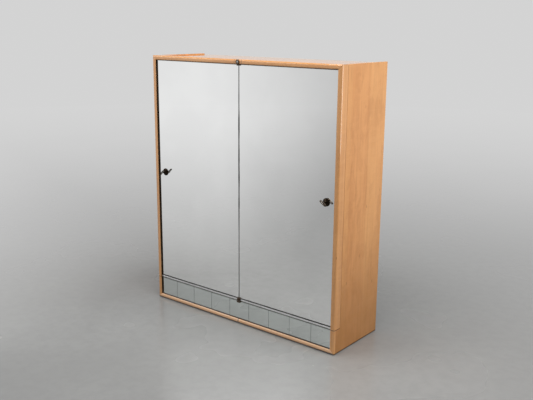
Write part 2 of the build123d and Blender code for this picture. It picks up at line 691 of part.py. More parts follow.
# ---------------------------------------------------------------- assembly
def build_carcass():
    parts["right_side_panel"] = cut_side_panel(side_panel())
    parts["left_side_panel"] = cut_side_panel(mirrored(side_panel()))
    both_sides("back_panel", back_panel())
    both_sides("plinth_moulding", plinth_side_moulding())
    both_sides("bottom_moulding", bottom_moulding())
    parts["top_board"] = top_board()
    parts["bottom_board"] = bottom_board()
    parts["centre_partition"] = centre_partition()
    parts["top_front_rail"] = top_front_rail()
    parts["plinth_front_board"] = plinth_front_board()
    parts["plinth_back_rail"] = plinth_back_rail()
    parts["plinth_centre_support"] = plinth_centre_support()
    parts["plinth_mirror_tiles"] = plinth_mirror_tiles()
    parts["floor_glides"] = floor_glides()
    parts["door_bumpers"] = door_bumpers()
    parts["back_panel_screws"] = group(back_screws())
    parts["fitting_screws"] = group(bracket_screws() + keeper_screws() + socket_screws())
    parts["keepers"] = group([keeper(), mirrored(keeper())])


def build_pivots():
    parts["top_pivot_bracket"] = top_pivot_bracket()
    parts["top_pivot_cap_screw"] = cap_screw()
    parts["bottom_pivot_bracket"] = bottom_pivot_bracket()
    parts["pivot_pins"] = group(top_pins() + bottom_pins())


def build_interior():
    parts["hat_shelf"] = shelf(HAT_SHELF_Z, -1)
    for number, z in enumerate(SHELF_LEVELS, start=1):
        parts[f"shelf_{number}"] = shelf(z, 1)
    parts["shelf_pins"] = group(shelf_pins())
    parts["hanging_rail"] = hanging_rail()
    parts["rail_sockets"] = rail_sockets()


def build_doors():
    both_sides("door_outer_stile", outer_stile())
    both_sides("door_inner_stile", inner_stile())
    both_sides("door_cross_rails", cross_rails())
    both_sides("door_front_skin", skin(GLASS_BACK))
    both_sides("door_back_skin", skin(CORE_BACK))
    both_sides("door_mirror", mirror_glass())
    both_sides("door_mirror_channel", mirror_channel())
    both_sides("door_mirror_gasket", mirror_gasket())
    both_sides("door_pivot_shoes", pivot_shoes())
    both_sides("door_handle_plates", group([rosette(), inner_plate()]))
    both_sides("door_screws", group(door_screws()))


def build_handles():
    parts["right_handle_grip"] = grip(RIGHT_GRIP_TILT)
    parts["left_handle_grip"] = mirrored(grip(LEFT_GRIP_TILT))
    both_sides("handle_spindle", spindle())
    both_sides("latch_tongue", latch_tongue())


build_carcass()
build_pivots()
build_interior()
build_doors()
build_handles()

os.makedirs("parts", exist_ok=True)
for name, shape in parts.items():
    export_step(shape, f"parts/{name}.step")
print(len(parts), "parts")
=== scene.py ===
import json
import math

import bmesh
import bpy
from mathutils import Matrix, Vector

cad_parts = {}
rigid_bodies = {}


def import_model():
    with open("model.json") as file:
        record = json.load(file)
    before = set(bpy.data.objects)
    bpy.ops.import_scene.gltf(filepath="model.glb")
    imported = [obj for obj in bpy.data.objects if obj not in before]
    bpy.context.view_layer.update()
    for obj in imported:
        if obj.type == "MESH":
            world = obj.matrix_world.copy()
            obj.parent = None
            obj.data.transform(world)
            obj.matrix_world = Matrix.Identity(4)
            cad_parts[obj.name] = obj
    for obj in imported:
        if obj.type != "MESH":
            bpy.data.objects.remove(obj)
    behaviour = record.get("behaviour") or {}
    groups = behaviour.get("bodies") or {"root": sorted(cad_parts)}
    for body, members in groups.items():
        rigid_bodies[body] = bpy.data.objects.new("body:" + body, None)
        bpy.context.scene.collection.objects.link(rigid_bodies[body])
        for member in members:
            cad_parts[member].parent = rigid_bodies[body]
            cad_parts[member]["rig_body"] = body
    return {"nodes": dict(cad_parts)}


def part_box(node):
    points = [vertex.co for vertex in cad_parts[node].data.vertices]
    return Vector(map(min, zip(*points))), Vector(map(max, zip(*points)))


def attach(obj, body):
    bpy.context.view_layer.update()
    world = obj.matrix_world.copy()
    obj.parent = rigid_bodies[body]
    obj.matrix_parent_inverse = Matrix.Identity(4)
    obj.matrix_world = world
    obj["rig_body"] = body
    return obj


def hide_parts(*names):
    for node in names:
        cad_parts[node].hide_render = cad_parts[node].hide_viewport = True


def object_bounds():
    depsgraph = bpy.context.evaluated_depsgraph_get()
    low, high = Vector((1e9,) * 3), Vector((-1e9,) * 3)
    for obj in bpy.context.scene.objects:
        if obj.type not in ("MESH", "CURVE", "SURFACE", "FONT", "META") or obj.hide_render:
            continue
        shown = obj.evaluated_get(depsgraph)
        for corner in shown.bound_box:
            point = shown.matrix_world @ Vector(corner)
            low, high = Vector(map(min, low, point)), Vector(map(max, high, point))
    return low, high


# Two-door mirrored armoire, in metres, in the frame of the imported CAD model.
# Every piece takes its place from the CAD node that it stands for.

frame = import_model()
cad_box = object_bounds()

MM = 0.001
X, Y, Z = 0, 1, 2
SIDES = {"left": -1, "right": 1}

# ---- driving values
CAMERA_PLACE = (3.1275, -3.807, 2.0405)
CAMERA_YAW = -38.904
CAMERA_PITCH = -13.673
CAMERA_ROLL = 0.467
CAMERA_LENS = 49.26
SENSOR_WIDTH = 36.0

FLOOR_RADIUS = 14.0
FLOOR_SIDES = 128
FLOOR_TONE = (0.318, 0.318, 0.311)
FADE_START = 1.2                # from here outwards the floor fades into the room's tones
FADE_LENGTH = 3.4
FLOOR_CLOUD = (1.1, 1.1, 1.1)   # cycles per metre
FLOOR_SPECKLE = (14, 14, 14)
WALL_HEIGHT = 12.0
SKY_START = 4.0                 # the wall fades to the sky's tone from here up to SKY_END
SKY_END = 8.0
SKY_TONE = 0.18
# Brightness of the room in degrees round the armoire. 0 is straight in front of it, 90 is its right.
ROOM_TONES = (
    (-180, 0.665), (-110, 0.665), (-85, 0.800), (-42, 0.820), (-22, 0.410),
    (20, 0.330), (50, 0.320), (100, 0.400), (140, 0.600), (180, 0.665),
)
# Softboxes: name, place, what it points at, width and height, power in watts.
SOFTBOXES = (
    ("overhead_softbox", (0.5, -0.7, 4.3), (0.5, -0.4, 0.0), (3.0, 2.6), 135.0),
    ("front_softbox", (-2.6, -2.2, 3.0), (0.0, -0.3, 0.4), (3.2, 0.9), 28.0),
    ("side_softbox", (2.6, 0.2, 1.75), (0.8, 0.0, 1.65), (2.2, 1.6), 31.0),
)

OUTER_ROUND = 10 * MM           # mouldings: front edges away from the mirrors
LOWER_ROUND = 7 * MM
INNER_ROUND = 2 * MM
MITRE_GAP = 1 * MM
RAIL_BLOCK = 30 * MM            # half of the short block in the middle of the top rail
BLOCK_JOINT = 0.2 * MM
SHOE = 2.5 * MM                 # plates of the pivots
LEDGE_PLATE = 2 * MM
PLATE_HALF = 30 * MM
WING_DEPTH = 26 * MM
NOSE_HALF = 14 * MM
NOSE_ROUND = 4 * MM
PIVOT_X = 7 * MM
KNUCKLE_RADIUS = 5.6 * MM
BOSS_RADIUS = 14.5 * MM
BOSS_RECESS = 4 * MM
CAP_RADIUS = 7.5 * MM
# Ends of the plates on the edges of each door, along X.
SHOE_SPAN = {"left": (-64 * MM, -0.5 * MM), "right": (2.5 * MM, 62 * MM)}
CHANNEL_START = 64 * MM         # where the flange under the mirror begins
CHANNEL_SHEET = 1.5 * MM
RING_LENGTH = 54 * MM
RING_DEPTH = 20 * MM
RING_BAR = 5 * MM
RING_THICKNESS = 6 * MM
RING_SQUARENESS = 0.7           # 1 makes the ring's section an ellipse, 0 a rectangle
GRIP_TILT = {"left": 45.0, "right": 36.0}
TONGUE_HALF = 7 * MM
HUB_RADIUS = 9 * MM
KEEPER_PLATE = 2 * MM
KEEPER_LIP = 18 * MM
KEEPER_LIP_DEPTH = 2.5 * MM
MIRROR_ARRIS = 1.5 * MM
TILE_ARRIS = 0.5 * MM
TILE_SET_BACK = 0.4 * MM
TILE_LEAN = (0.10, 0.12)        # most degrees that a tile swings sideways and tips

DOOR_JOINT_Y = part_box("left_door_outer_stile")[1].y
DOOR_JOINT_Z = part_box("left_door_outer_stile")[0].z
# Dark lines along the joints behind and under the doors, and painted shade along the foot of every wooden
# piece.
JOINT_LINE_WIDTH = 1.5 * MM
FOOT_SHADE_HEIGHT = 5 * MM
JOINT_LINE_FADE = 2.2                # width of the dark line along a joint with its soft edge, in widths of the line
RAIL_JOINT = (RAIL_BLOCK, 1.0 * MM)     # distance from the centre line, half width of the dark line
FLOOR_JOINT = (0.0, 2.2 * MM)
CROWN_RISE = (15 * MM, 20 * MM)         # heights between which the painted highlight on the crown of the moulding begins
CROWN_FALL = (28 * MM, 33 * MM)
# heights over which the painted shade on the moulding's underside fades out
UNDERSIDE = (7 * MM, 16 * MM)
# height below which the sides are painted darker, as painted shade
SIDE_SHADE_HEIGHT = 0.85
BACK_EDGE_Y = cad_box[1][Y]
BACK_EDGE_LINE = (1.2 * MM, 0.4 * MM)       # from the back edge, where the dark line begins and is full
MIRROR_INNER_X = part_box("right_door_mirror")[0].x
MIRROR_OUTER_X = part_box("right_door_mirror")[1].x
GASKET_TOP_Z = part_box("right_door_mirror_gasket")[1].z
TILE_TOP_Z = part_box("plinth_mirror_tiles")[1].z
# Painted shade as dark strips in the silvering along the mirrors' edges, the seam, the bottom and the
# tiles' top edges.
OUTER_EDGE_SHADE = 7 * MM            # painted shade: dark strip in the silvering along the outer edge
SEAM_SHADE = 4 * MM
BOTTOM_EDGE_SHADE = 2 * MM
TILE_TOP_SHADE_WIDTH = 2 * MM
SEAM_SHADE_RISE = (0.45, 0.95)       # heights between which the painted shade along the seam grows, and fades
SEAM_SHADE_FALL = (1.40, 1.70)

# Layers of the wood's figure: cycles per metre across the grain and along it.
CLOUD = (5.0, 1.6)
BANDS = (13.0, 0.9)
STREAKS = (60.0, 1.6)
FIBRE = (420.0, 9.0)
RIPPLE = (7.0, 30.0)
FLECKS = (330.0, 42.0)
MOTTLE = (9.0, 3.5)
PECKS = (14.0, 5.0)
SIDE_LEAF = (Y, 0.201, -0.322)  # leaves of veneer: axis, width, where one begins
TOP_LEAF = (Y, 0.146, -0.173)
PLY_LEAF = (X, 0.264, 0.0)

# Wood tones: middle, light, dark.
# The floor moulding's tones are the honey wood painted lighter and more orange, as painted light on its lit
# front.
MOULDING_LIT_TONES = ((0.76, 0.355, 0.128), (0.86, 0.450, 0.185), (0.55, 0.235, 0.076))
HONEY = ((0.65, 0.292, 0.092), (0.77, 0.378, 0.134), (0.44, 0.178, 0.050))
INNER = ((0.66, 0.450, 0.240), (0.76, 0.560, 0.330), (0.46, 0.280, 0.130))
PLY = ((0.52, 0.350, 0.190), (0.62, 0.440, 0.260), (0.34, 0.205, 0.100))
# painted highlight: the pale tone on the crown of the floor moulding
CROWN_HIGHLIGHT_TONE = (0.97, 0.550, 0.260)
# painted shade: the dark tone on the floor moulding's underside
UNDERSIDE_SHADE_TONE = (0.100, 0.042, 0.016)
# near black of the painted shade in the silvering
SILVERING_SHADE_BLACK = (0.03, 0.03, 0.028)


# ---- material helpers
def shade(tone, factor):
    """A colour made darker or lighter by a factor."""
    return tuple(factor * part for part in tone)


class Shader:
    """A material's node tree with one Principled shader, written as short calls."""

    # The Mix node has a set of sockets for every data type. These are its colour sockets.
    MIX_A = 6
    MIX_B = 7
    MIX_RESULT = 2

    def __init__(self, name):
        self.material = bpy.data.materials.new(name)
        self.material.use_nodes = True
        self.tree = self.material.node_tree
        self.tree.nodes.clear()
        self.surface = self.node("ShaderNodeBsdfPrincipled")
        self.output = self.node("ShaderNodeOutputMaterial", {"Surface": self.surface.outputs["BSDF"]})

    def node(self, kind, inputs=None, **settings):
        made = self.tree.nodes.new(kind)
        for key, value in settings.items():
            setattr(made, key, value)
        for key, value in (inputs or {}).items():
            self.put(made.inputs[key], value)
        return made

    def put(self, socket, value):
        """A number, a colour or another node's output into a socket."""
        if isinstance(value, bpy.types.NodeSocket):
            self.tree.links.new(value, socket)
        elif isinstance(value, tuple) and len(value) == 3 and socket.type == "RGBA":
            socket.default_value = (*value, 1.0)
        else:
            socket.default_value = value

    def set(self, **values):
        """Inputs of the surface. Constant numbers go straight onto their sockets."""
        for key, value in values.items():
            self.put(self.surface.inputs[key.replace("_", " ")], value)

    def coords(self, scale=(1, 1, 1), offset=None):
        """Object coordinates times a scale, moved by an offset output where one is given."""
        where = self.node("ShaderNodeTexCoord").outputs["Object"]
        if offset is not None:
            where = self.vector("ADD", where, offset)
        return self.vector("MULTIPLY", where, scale)

    def vector(self, operation, a, b):
        return self.node("ShaderNodeVectorMath", {0: a, 1: b}, operation=operation).outputs["Vector"]

    def math(self, operation, a, b=0.0):
        return self.node("ShaderNodeMath", {0: a, 1: b}, operation=operation).outputs["Value"]

    def times(self, a, b):
        return self.math("MULTIPLY", a, b)

    def minus(self, a, b):
        return self.math("SUBTRACT", a, b)

    def split(self, value):
        return self.node("ShaderNodeSeparateXYZ", {0: value}).outputs

    def noise(self, where, detail=2.0, roughness=0.5, distortion=0.0):
        """Noise whose scale is in its coordinates."""
        inputs = {"Vector": where, "Scale": 1.0, "Detail": detail, "Roughness": roughness}
        inputs["Distortion"] = distortion
        return self.node("ShaderNodeTexNoise", inputs).outputs["Fac"]

    def cells(self, where):
        """Distance from the nearest of many scattered points, and that point's own colour."""
        return self.node("ShaderNodeTexVoronoi", {"Vector": where, "Scale": 1.0}).outputs

    def span(self, value, low, high, to_low=0.0, to_high=1.0, smooth=True):
        """Map a value from one range to another, clamped."""
        kind = "SMOOTHSTEP" if smooth else "LINEAR"
        inputs = {"Value": value, "From Min": low, "From Max": high, "To Min": to_low, "To Max": to_high}
        return self.node("ShaderNodeMapRange", inputs, interpolation_type=kind).outputs["Result"]

    def mix(self, factor, a, b):
        inputs = {"Factor": factor, self.MIX_A: a, self.MIX_B: b}
        return self.node("ShaderNodeMix", inputs, data_type="RGBA").outputs[self.MIX_RESULT]

    def bump(self, height, strength, distance):
        inputs = {"Strength": strength, "Distance": distance, "Height": height}
        self.set(Normal=self.node("ShaderNodeBump", inputs).outputs["Normal"])

    def piece_offset(self):
        """A different shift for every piece, so that no two boards show the same grain."""
        chance = self.node("ShaderNodeObjectInfo").outputs["Random"]
        shifts = {axis: self.times(chance, spread) for axis, spread in enumerate((40.0, 28.0, 52.0))}
        return self.node("ShaderNodeCombineXYZ", shifts).outputs[0]


def along(axis, across, lengthwise):
    """Texture scale that is fine across the grain and long along it."""
    scale = [across, across, across]
    scale[axis] = lengthwise
    return tuple(scale)


def wood(name, grain, tones, figure=1.0, gloss=0.42, leaf=None, coat=0.8, polish=(1.60, 0.16), joint=None):
    """Lacquered wood: soft growth bands, fine pores, a ripple across the grain and small flecks."""
    middle, light, dark = tones
    s = Shader(name)
    offset = s.piece_offset()

    def layer(cycles, **settings):
        return s.noise(s.coords(along(grain, *cycles), offset), **settings)

    fibre = layer(FIBRE, detail=3.0, roughness=0.65)
    ripple = layer(RIPPLE, distortion=0.8)
    bands = layer(BANDS, detail=4.0, roughness=0.6, distortion=1.2)
    streaks = layer(STREAKS, detail=3.0, distortion=0.4)
    colour = s.mix(s.span(layer(CLOUD, detail=3.0), 0.36, 0.64, 0.2, 0.8), middle, light)
    colour = s.mix(s.span(bands, 0.44, 0.70, 0.0, 0.20), colour, dark)
    colour = s.mix(s.span(streaks, 0.50, 0.68, 0.0, 0.22), colour, dark)
    colour = s.mix(s.span(ripple, 0.42, 0.66, 0.0, 0.26 * figure), colour, light)
    colour = s.mix(s.span(fibre, 0.45, 0.75, 0.0, 0.12), colour, dark)
    colour = s.mix(s.span(layer(FLECKS, detail=1.0), 0.64, 0.76, 0.0, 0.34), colour, dark)
    colour = bird_pecks(s, colour, grain, offset, dark)
    if leaf is not None:
        mottle = layer(MOTTLE, detail=5.0, roughness=0.6, distortion=1.5)
        colour = s.mix(s.span(mottle, 0.47, 0.66, 0.0, 0.34), colour, dark)
        colour = veneer_leaves(s, colour, leaf, light, dark)
        colour = sides_foot_shade(s, colour, dark)
    colour = joint_lines_and_foot_shade(s, colour, dark)
    # The floor moulding gets a painted highlight on its crown and painted shade below it.
    if joint == FLOOR_JOINT:
        colour = crown_highlight_and_underside_shade(s, colour)
    if joint is not None:
        colour = butt_joint(s, colour, joint, dark)
    s.set(Base_Color=colour)
    smear = s.noise(s.coords((22, 22, 22), offset), detail=4.0)
    s.set(Roughness=s.span(smear, 0.3, 0.7, gloss - 0.07, gloss + 0.10), Specular_IOR_Level=0.10)
    coat_ior, coat_roughness = polish
    s.set(Coat_Weight=coat, Coat_IOR=coat_ior, Coat_Roughness=coat_roughness)
    height = s.math("ADD", s.times(fibre, 0.7), s.times(ripple, 0.5))
    s.bump(height, 0.25, 0.4 * MM)
    return s.material


def bird_pecks(s, colour, grain, offset, dark):
    """Small dark marks, far apart, each a few millimetres long."""
    marks = s.cells(s.coords(along(grain, *PECKS), offset))
    chosen = s.math("GREATER_THAN", s.split(marks["Color"])[0], 0.50)
    spot = s.span(marks["Distance"], 0.03, 0.09, 0.85, 0.0)
    return s.mix(s.times(spot, chosen), colour, shade(dark, 0.6))


def veneer_leaves(s, colour, leaf, light, dark):
    """Neighbouring leaves of veneer, turned over in turn: every other one is painted darker and redder and
    the rest lighter, as painted sheen.
    """
    axis, width, start = leaf
    place = s.math("DIVIDE", s.minus(s.split(s.coords())[axis], start), width)
    turned = s.math("MODULO", s.math("FLOOR", place), 2.0)
    reddish = (dark[0] * 1.35, dark[1] * 1.20, dark[2] * 1.20)
    colour = s.mix(s.times(turned, 0.20), colour, reddish)
    colour = s.mix(s.times(s.minus(1.0, turned), 0.16), colour, light)
    near_joint = s.math("ABSOLUTE", s.minus(s.math("FRACT", place), 0.5))
    return s.mix(s.span(near_joint, 0.495, 0.5, 0.0, 0.30), colour, dark)


# Near-black tone of the joint lines and of the painted shade at the foot.
def line_and_shade_tone(dark):
    return shade(dark, 0.22)


def joint_lines_and_foot_shade(s, colour, dark):
    """Dark lines along the joints behind and under each door and along the back edge, and painted shade
    just above the floor.
    """
    part = s.split(s.coords())
    behind = s.math("ABSOLUTE", s.minus(part[Y], DOOR_JOINT_Y))
    under = s.math("ABSOLUTE", s.minus(part[Z], DOOR_JOINT_Z))
    above = s.math("GREATER_THAN", part[Z], DOOR_JOINT_Z)
    in_front = s.math("LESS_THAN", part[Y], DOOR_JOINT_Y)
    soft_edge = JOINT_LINE_FADE * JOINT_LINE_WIDTH
    upright = s.times(s.span(behind, JOINT_LINE_WIDTH, soft_edge, 0.12, 0.0), above)
    level = s.times(s.span(under, JOINT_LINE_WIDTH, soft_edge, 0.9, 0.0), in_front)
    # painted shade: darker towards the floor
    foot = s.span(part[Z], FOOT_SHADE_HEIGHT, 3 * FOOT_SHADE_HEIGHT, 0.95, 0.0)
    begins, full = [BACK_EDGE_Y - inset for inset in BACK_EDGE_LINE]
    back = s.span(part[Y], begins, full, 0.0, 0.8)
    most = s.math("MAXIMUM", s.math("MAXIMUM", foot, back), s.math("MAXIMUM", upright, level))
    return s.mix(most, colour, line_and_shade_tone(dark))


def butt_joint(s, colour, joint, dark):
    """Dark line where two lengths of a moulding meet, at the same distance either side of the centre."""
    place, half_width = joint
    across = s.math("ABSOLUTE", s.split(s.coords())[X])
    gap = s.math("ABSOLUTE", s.minus(across, place))
    line = s.span(gap, half_width, 2 * half_width, 0.9, 0.0)
    return s.mix(line, colour, line_and_shade_tone(dark))


def crown_highlight_and_underside_shade(s, colour):
    """Painted light on the moulding along the floor: a pale painted highlight along its crown, and painted
    shade towards the floor.
    """
    height = s.split(s.coords())[Z]
    crown = s.times(s.span(height, *CROWN_RISE), s.span(height, *CROWN_FALL, 1.0, 0.0))
    colour = s.mix(s.times(crown, 0.9), colour, CROWN_HIGHLIGHT_TONE)
    return s.mix(s.span(height, *UNDERSIDE, 0.85, 0.0), colour, UNDERSIDE_SHADE_TONE)


def sides_foot_shade(s, colour, dark):
    """Painted shade: the lower part of the sides is darker and browner towards the floor, in patches."""
    height = s.split(s.coords())[Z]
    cloud = s.noise(s.coords((9, 9, 5)), detail=4.0)
    patchy = s.span(cloud, 0.25, 0.75, 0.6, 1.0)
    side_shade = s.times(s.span(height, 0.0, SIDE_SHADE_HEIGHT, 0.75, 0.0), patchy)
    side_shade_tone = (0.90 * dark[0], 0.88 * dark[1], 0.50 * dark[2])
    return s.mix(side_shade, colour, side_shade_tone)


def stain_and_gap_shade():
    """Brown-black stain on the rebates beside the mirrors; on the ledge under the doors and the floor
    moulding's upper edge it is painted shade.
    """
    s = Shader("rebate_stain_and_gap_shade")
    cloud = s.noise(s.coords((60, 60, 60)), detail=5.0)
    s.set(Base_Color=s.mix(cloud, (0.028, 0.015, 0.006), (0.060, 0.034, 0.016)))
    s.set(Roughness=s.span(cloud, 0.3, 0.7, 0.45, 0.65), Specular_IOR_Level=0.25)
    s.bump(cloud, 0.2, 0.3 * MM)
    return s.material


def silvered_glass(name, tint, haze, edge_shade):
    """Old mirror: bright silvering with the faintest haze and fine spots, and painted shade as dark strips
    along its edges.
    """
    s = Shader(name)
    cloud = s.noise(s.coords((3.0, 3.0, 3.0)), detail=3.0)
    spots = s.noise(s.coords((240, 240, 240)), detail=2.0, roughness=0.6)
    colour = s.mix(s.span(cloud, 0.35, 0.65), tint, shade(tint, 0.965))
    colour = s.mix(s.span(spots, 0.78, 0.84, 0.0, 0.35), colour, shade(tint, 0.6))
    s.set(Base_Color=s.mix(edge_shade(s), colour, SILVERING_SHADE_BLACK))
    s.set(Metallic=1.0, Roughness=s.span(cloud, 0.3, 0.7, 0.4 * haze, haze))
    return s.material


def tile_top_shade(s):
    """Painted shade: dark line along the top edges of the tiles, under the lip."""
    below = s.minus(TILE_TOP_Z, s.split(s.coords())[Z])
    return s.span(below, TILE_TOP_SHADE_WIDTH, 2 * TILE_TOP_SHADE_WIDTH, 0.85, 0.0)


def mirror_edge_shade(s):
    """Share of painted shade in the silvering along the outer edge, the bottom and the seam, widest at mid
    height along the seam.
    """
    part = s.split(s.coords())
    across = s.math("ABSOLUTE", part[X])
    outer = s.math("DIVIDE", s.minus(MIRROR_OUTER_X, across), OUTER_EDGE_SHADE)
    below = s.math("DIVIDE", s.minus(part[Z], GASKET_TOP_Z), BOTTOM_EDGE_SHADE)
    # the painted shade along the seam is widest between these heights
    rising = s.span(part[Z], *SEAM_SHADE_RISE, 0.15, 1.0)
    hand = s.times(rising, s.span(part[Z], *SEAM_SHADE_FALL, 1.0, 0.3))
    width = s.times(hand, SEAM_SHADE)
    seam = s.math("DIVIDE", s.minus(across, MIRROR_INNER_X), width)
    ragged = s.noise(s.coords((40, 40, 9)), detail=4.0)
    nearest = s.math("MINIMUM", s.math("MINIMUM", outer, below), seam)
    reach = s.math("ADD", nearest, s.span(ragged, 0.3, 0.7, -0.2, 0.3))
    return s.span(reach, 0.7, 1.1, 0.95, 0.0)


def glass_edge(name, colour):
    """Ground edge of the glass."""
    s = Shader(name)
    grind = s.noise(s.coords((900, 900, 60)), detail=3.0)
    s.set(Base_Color=s.mix(grind, colour, shade(colour, 0.8)))
    s.set(Roughness=s.span(grind, 0.3, 0.7, 0.25, 0.45), Coat_Weight=0.5)
    s.bump(grind, 0.2, 0.1 * MM)
    return s.material


def metal(name, colour, worn, rough, brushed=None, patina=0.5):
    """Metal with rubbed patches, fine scratches and, where it is rolled stock, a brushed grain."""
    s = Shader(name)
    cloud = s.noise(s.coords((55, 55, 55)), detail=5.0, roughness=0.6)
    fine = s.noise(s.coords((700, 700, 700)), detail=2.0)
    s.set(Base_Color=s.mix(s.span(cloud, 0.45, 0.75, 0.0, patina), colour, worn))
    s.set(Metallic=1.0, Roughness=s.span(cloud, 0.3, 0.7, rough + 0.08, rough - 0.06))
    height = fine
    if brushed is not None:
        lines = s.noise(s.coords(along(brushed, 1800.0, 6.0)), detail=2.0)
        height = s.math("ADD", s.times(fine, 0.3), lines)
    s.bump(height, 0.15, 0.1 * MM)
    return s.material


def rubber():
    s = Shader("black_rubber")
    dust = s.noise(s.coords((120, 120, 120)), detail=4.0)
    s.set(Base_Color=s.mix(s.span(dust, 0.4, 0.8), (0.008, 0.008, 0.008), (0.022, 0.021, 0.019)))
    s.set(Roughness=s.span(dust, 0.3, 0.7, 0.55, 0.8), Specular_IOR_Level=0.2)
    s.bump(dust, 0.2, 0.2 * MM)
    return s.material


MATERIALS = {
    "honey_upright": wood("honey_wood_upright", Z, HONEY, polish=(1.95, 0.14)),
    "honey_side": wood("honey_side_veneer", Z, HONEY, leaf=SIDE_LEAF),
    "honey_level": wood("honey_wood_level", X, HONEY, coat=1.0, polish=(1.8, 0.12), joint=RAIL_JOINT),
    # Honey wood painted lighter for the floor moulding, as painted light.
    "honey_moulding_painted_light": wood(
        "honey_wood_moulding_painted_light", X, MOULDING_LIT_TONES, coat=1.0, polish=(2.5, 0.13), joint=FLOOR_JOINT
    ),
    "honey_top": wood("honey_top_veneer", X, HONEY, leaf=TOP_LEAF, coat=1.0, polish=(2.0, 0.07)),
    "inner_upright": wood("inner_wood_upright", Z, INNER, figure=0.5, gloss=0.5, coat=0.2),
    "inner_level": wood("inner_wood_level", X, INNER, figure=0.5, gloss=0.5, coat=0.2),
    "plywood": wood("back_plywood", Z, PLY, figure=0.4, gloss=0.6, leaf=PLY_LEAF, coat=0.0),
    # Dark stain on the rebates, and painted shade on the ledge and the floor moulding's upper edge.
    "stain": stain_and_gap_shade(),
    "mirror": silvered_glass("door_silvering", (0.975, 0.980, 0.978), 0.02, mirror_edge_shade),
    "tile": silvered_glass("tile_silvering", (0.79, 0.830, 0.815), 0.05, tile_top_shade),
    "arris": glass_edge("polished_arris", (0.80, 0.84, 0.82)),
    "edge": glass_edge("glass_edge", (0.05, 0.06, 0.055)),
    # Near-black glass edges of the tiles, painted shade under the lip.
    "tile_edge_shaded": glass_edge("tile_edge_shaded", (0.03, 0.035, 0.032)),
    "bronze": metal("dark_bronze", (0.022, 0.015, 0.010), (0.12, 0.080, 0.050), 0.32, patina=0.35),
    "worn_bronze": metal("worn_bronze", (0.120, 0.085, 0.060), (0.24, 0.170, 0.110), 0.30),
    # lighter bronze for the grips' faces: rubbed wear and painted sheen
    "rubbed_bronze_and_painted_sheen": metal("rubbed_bronze_and_painted_sheen", (0.10, 0.075, 0.052), (0.52, 0.420, 0.320), 0.26, patina=0.75),
    "steel": metal("plated_steel", (0.50, 0.49, 0.47), (0.62, 0.61, 0.59), 0.30),
    "nickel": metal("nickel_tube", (0.66, 0.64, 0.61), (0.75, 0.73, 0.70), 0.16, brushed=X),
    "aluminium": metal("brushed_aluminium", (0.92, 0.92, 0.92), (0.96, 0.96, 0.95), 0.34, brushed=X),
    "rubber": rubber(),
}


# ---- mesh helpers
def new_object(name, data):
    made = bpy.data.objects.new(name, data)
    bpy.context.scene.collection.objects.link(made)
    return made


def finished(node, mesh_builder, materials, bevel=None):
    """Make the piece that stands for a CAD node, on the same body, and hide the node."""
    cad = frame["nodes"][node]
    mesh = bpy.data.meshes.new(f"{node}_finished")
    bmesh.ops.recalc_face_normals(mesh_builder, faces=mesh_builder.faces)
    for face in mesh_builder.faces:
        face.smooth = True
    sharp = math.radians(32)
    for edge in mesh_builder.edges:
        edge.smooth = len(edge.link_faces) == 2 and edge.calc_face_angle(0.0) < sharp
    mesh_builder.to_mesh(mesh)
    mesh_builder.free()
    for key in materials:
        mesh.materials.append(MATERIALS[key])
    piece = new_object(f"{node}_finished", mesh)
    if bevel:
        rounding = piece.modifiers.new("eased edges", "BEVEL")
        rounding.width = bevel
        rounding.segments = 3
        rounding.limit_method = "ANGLE"
        rounding.angle_limit = math.radians(40)
        rounding.harden_normals = True
    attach(piece, cad["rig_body"])
    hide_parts(node)


def add_box(bm, low, high, index=0):
    """Box between two corners, with the material of an index."""
    spans = list(zip(low, high))
    verts = [bm.verts.new((x, y, z)) for x in spans[X] for y in spans[Y] for z in spans[Z]]
    sides = ((0, 1, 3, 2), (4, 6, 7, 5), (0, 4, 5, 1), (2, 3, 7, 6), (0, 2, 6, 4), (1, 5, 7, 3))
    for side in sides:
        bm.faces.new([verts[k] for k in side]).material_index = index


def board(node, material, bevel=1.0 * MM):
    bm = bmesh.new()
    low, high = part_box(node)
    add_box(bm, low, high)
    finished(node, bm, [material], bevel=bevel)


def add_prism(bm, outline, axis, low, high):
    """Extrude an outline along an axis. The outline gives the other two axes, in their order."""
    others = [other for other in (X, Y, Z) if other != axis]

    def place(point, distance):
        spot = [0.0, 0.0, 0.0]
        spot[axis] = distance
        spot[others[0]], spot[others[1]] = point
        return spot

    first = [bm.verts.new(place(point, low)) for point in outline]
    last = [bm.verts.new(place(point, high)) for point in outline]
    bm.faces.new(first)
    bm.faces.new(last[::-1])
    for k in range(len(outline)):
        j = (k + 1) % len(outline)
        bm.faces.new([first[k], first[j], last[j], last[k]])


def rounded_rectangle(low, high, radii, steps=8):
    """Outline from one corner to the opposite one, with a radius for each corner in turn."""
    corners = [Vector((low[0], low[1])), Vector((high[0], low[1])), Vector(high), Vector((low[0], high[1]))]
    outline = []
    for k, (here, radius) in enumerate(zip(corners, radii)):
        if radius == 0:
            outline.append(tuple(here))
            continue
        back = (corners[k - 1] - here).normalized()
        ahead = (corners[(k + 1) % 4] - here).normalized()
        half_angle = back.angle(ahead) / 2
        centre = here + (back + ahead).normalized() * (radius / math.sin(half_angle))
        start = here + back * (radius / math.tan(half_angle)) - centre
        end = here + ahead * (radius / math.tan(half_angle)) - centre
        first = math.atan2(start.y, start.x)
        sweep = (math.atan2(end.y, end.x) - first + math.pi) % (2 * math.pi) - math.pi
        for step in range(steps + 1):
            angle = first + sweep * step / steps
            outline.append((centre.x + radius * math.cos(angle), centre.y + radius * math.sin(angle)))
    return outline


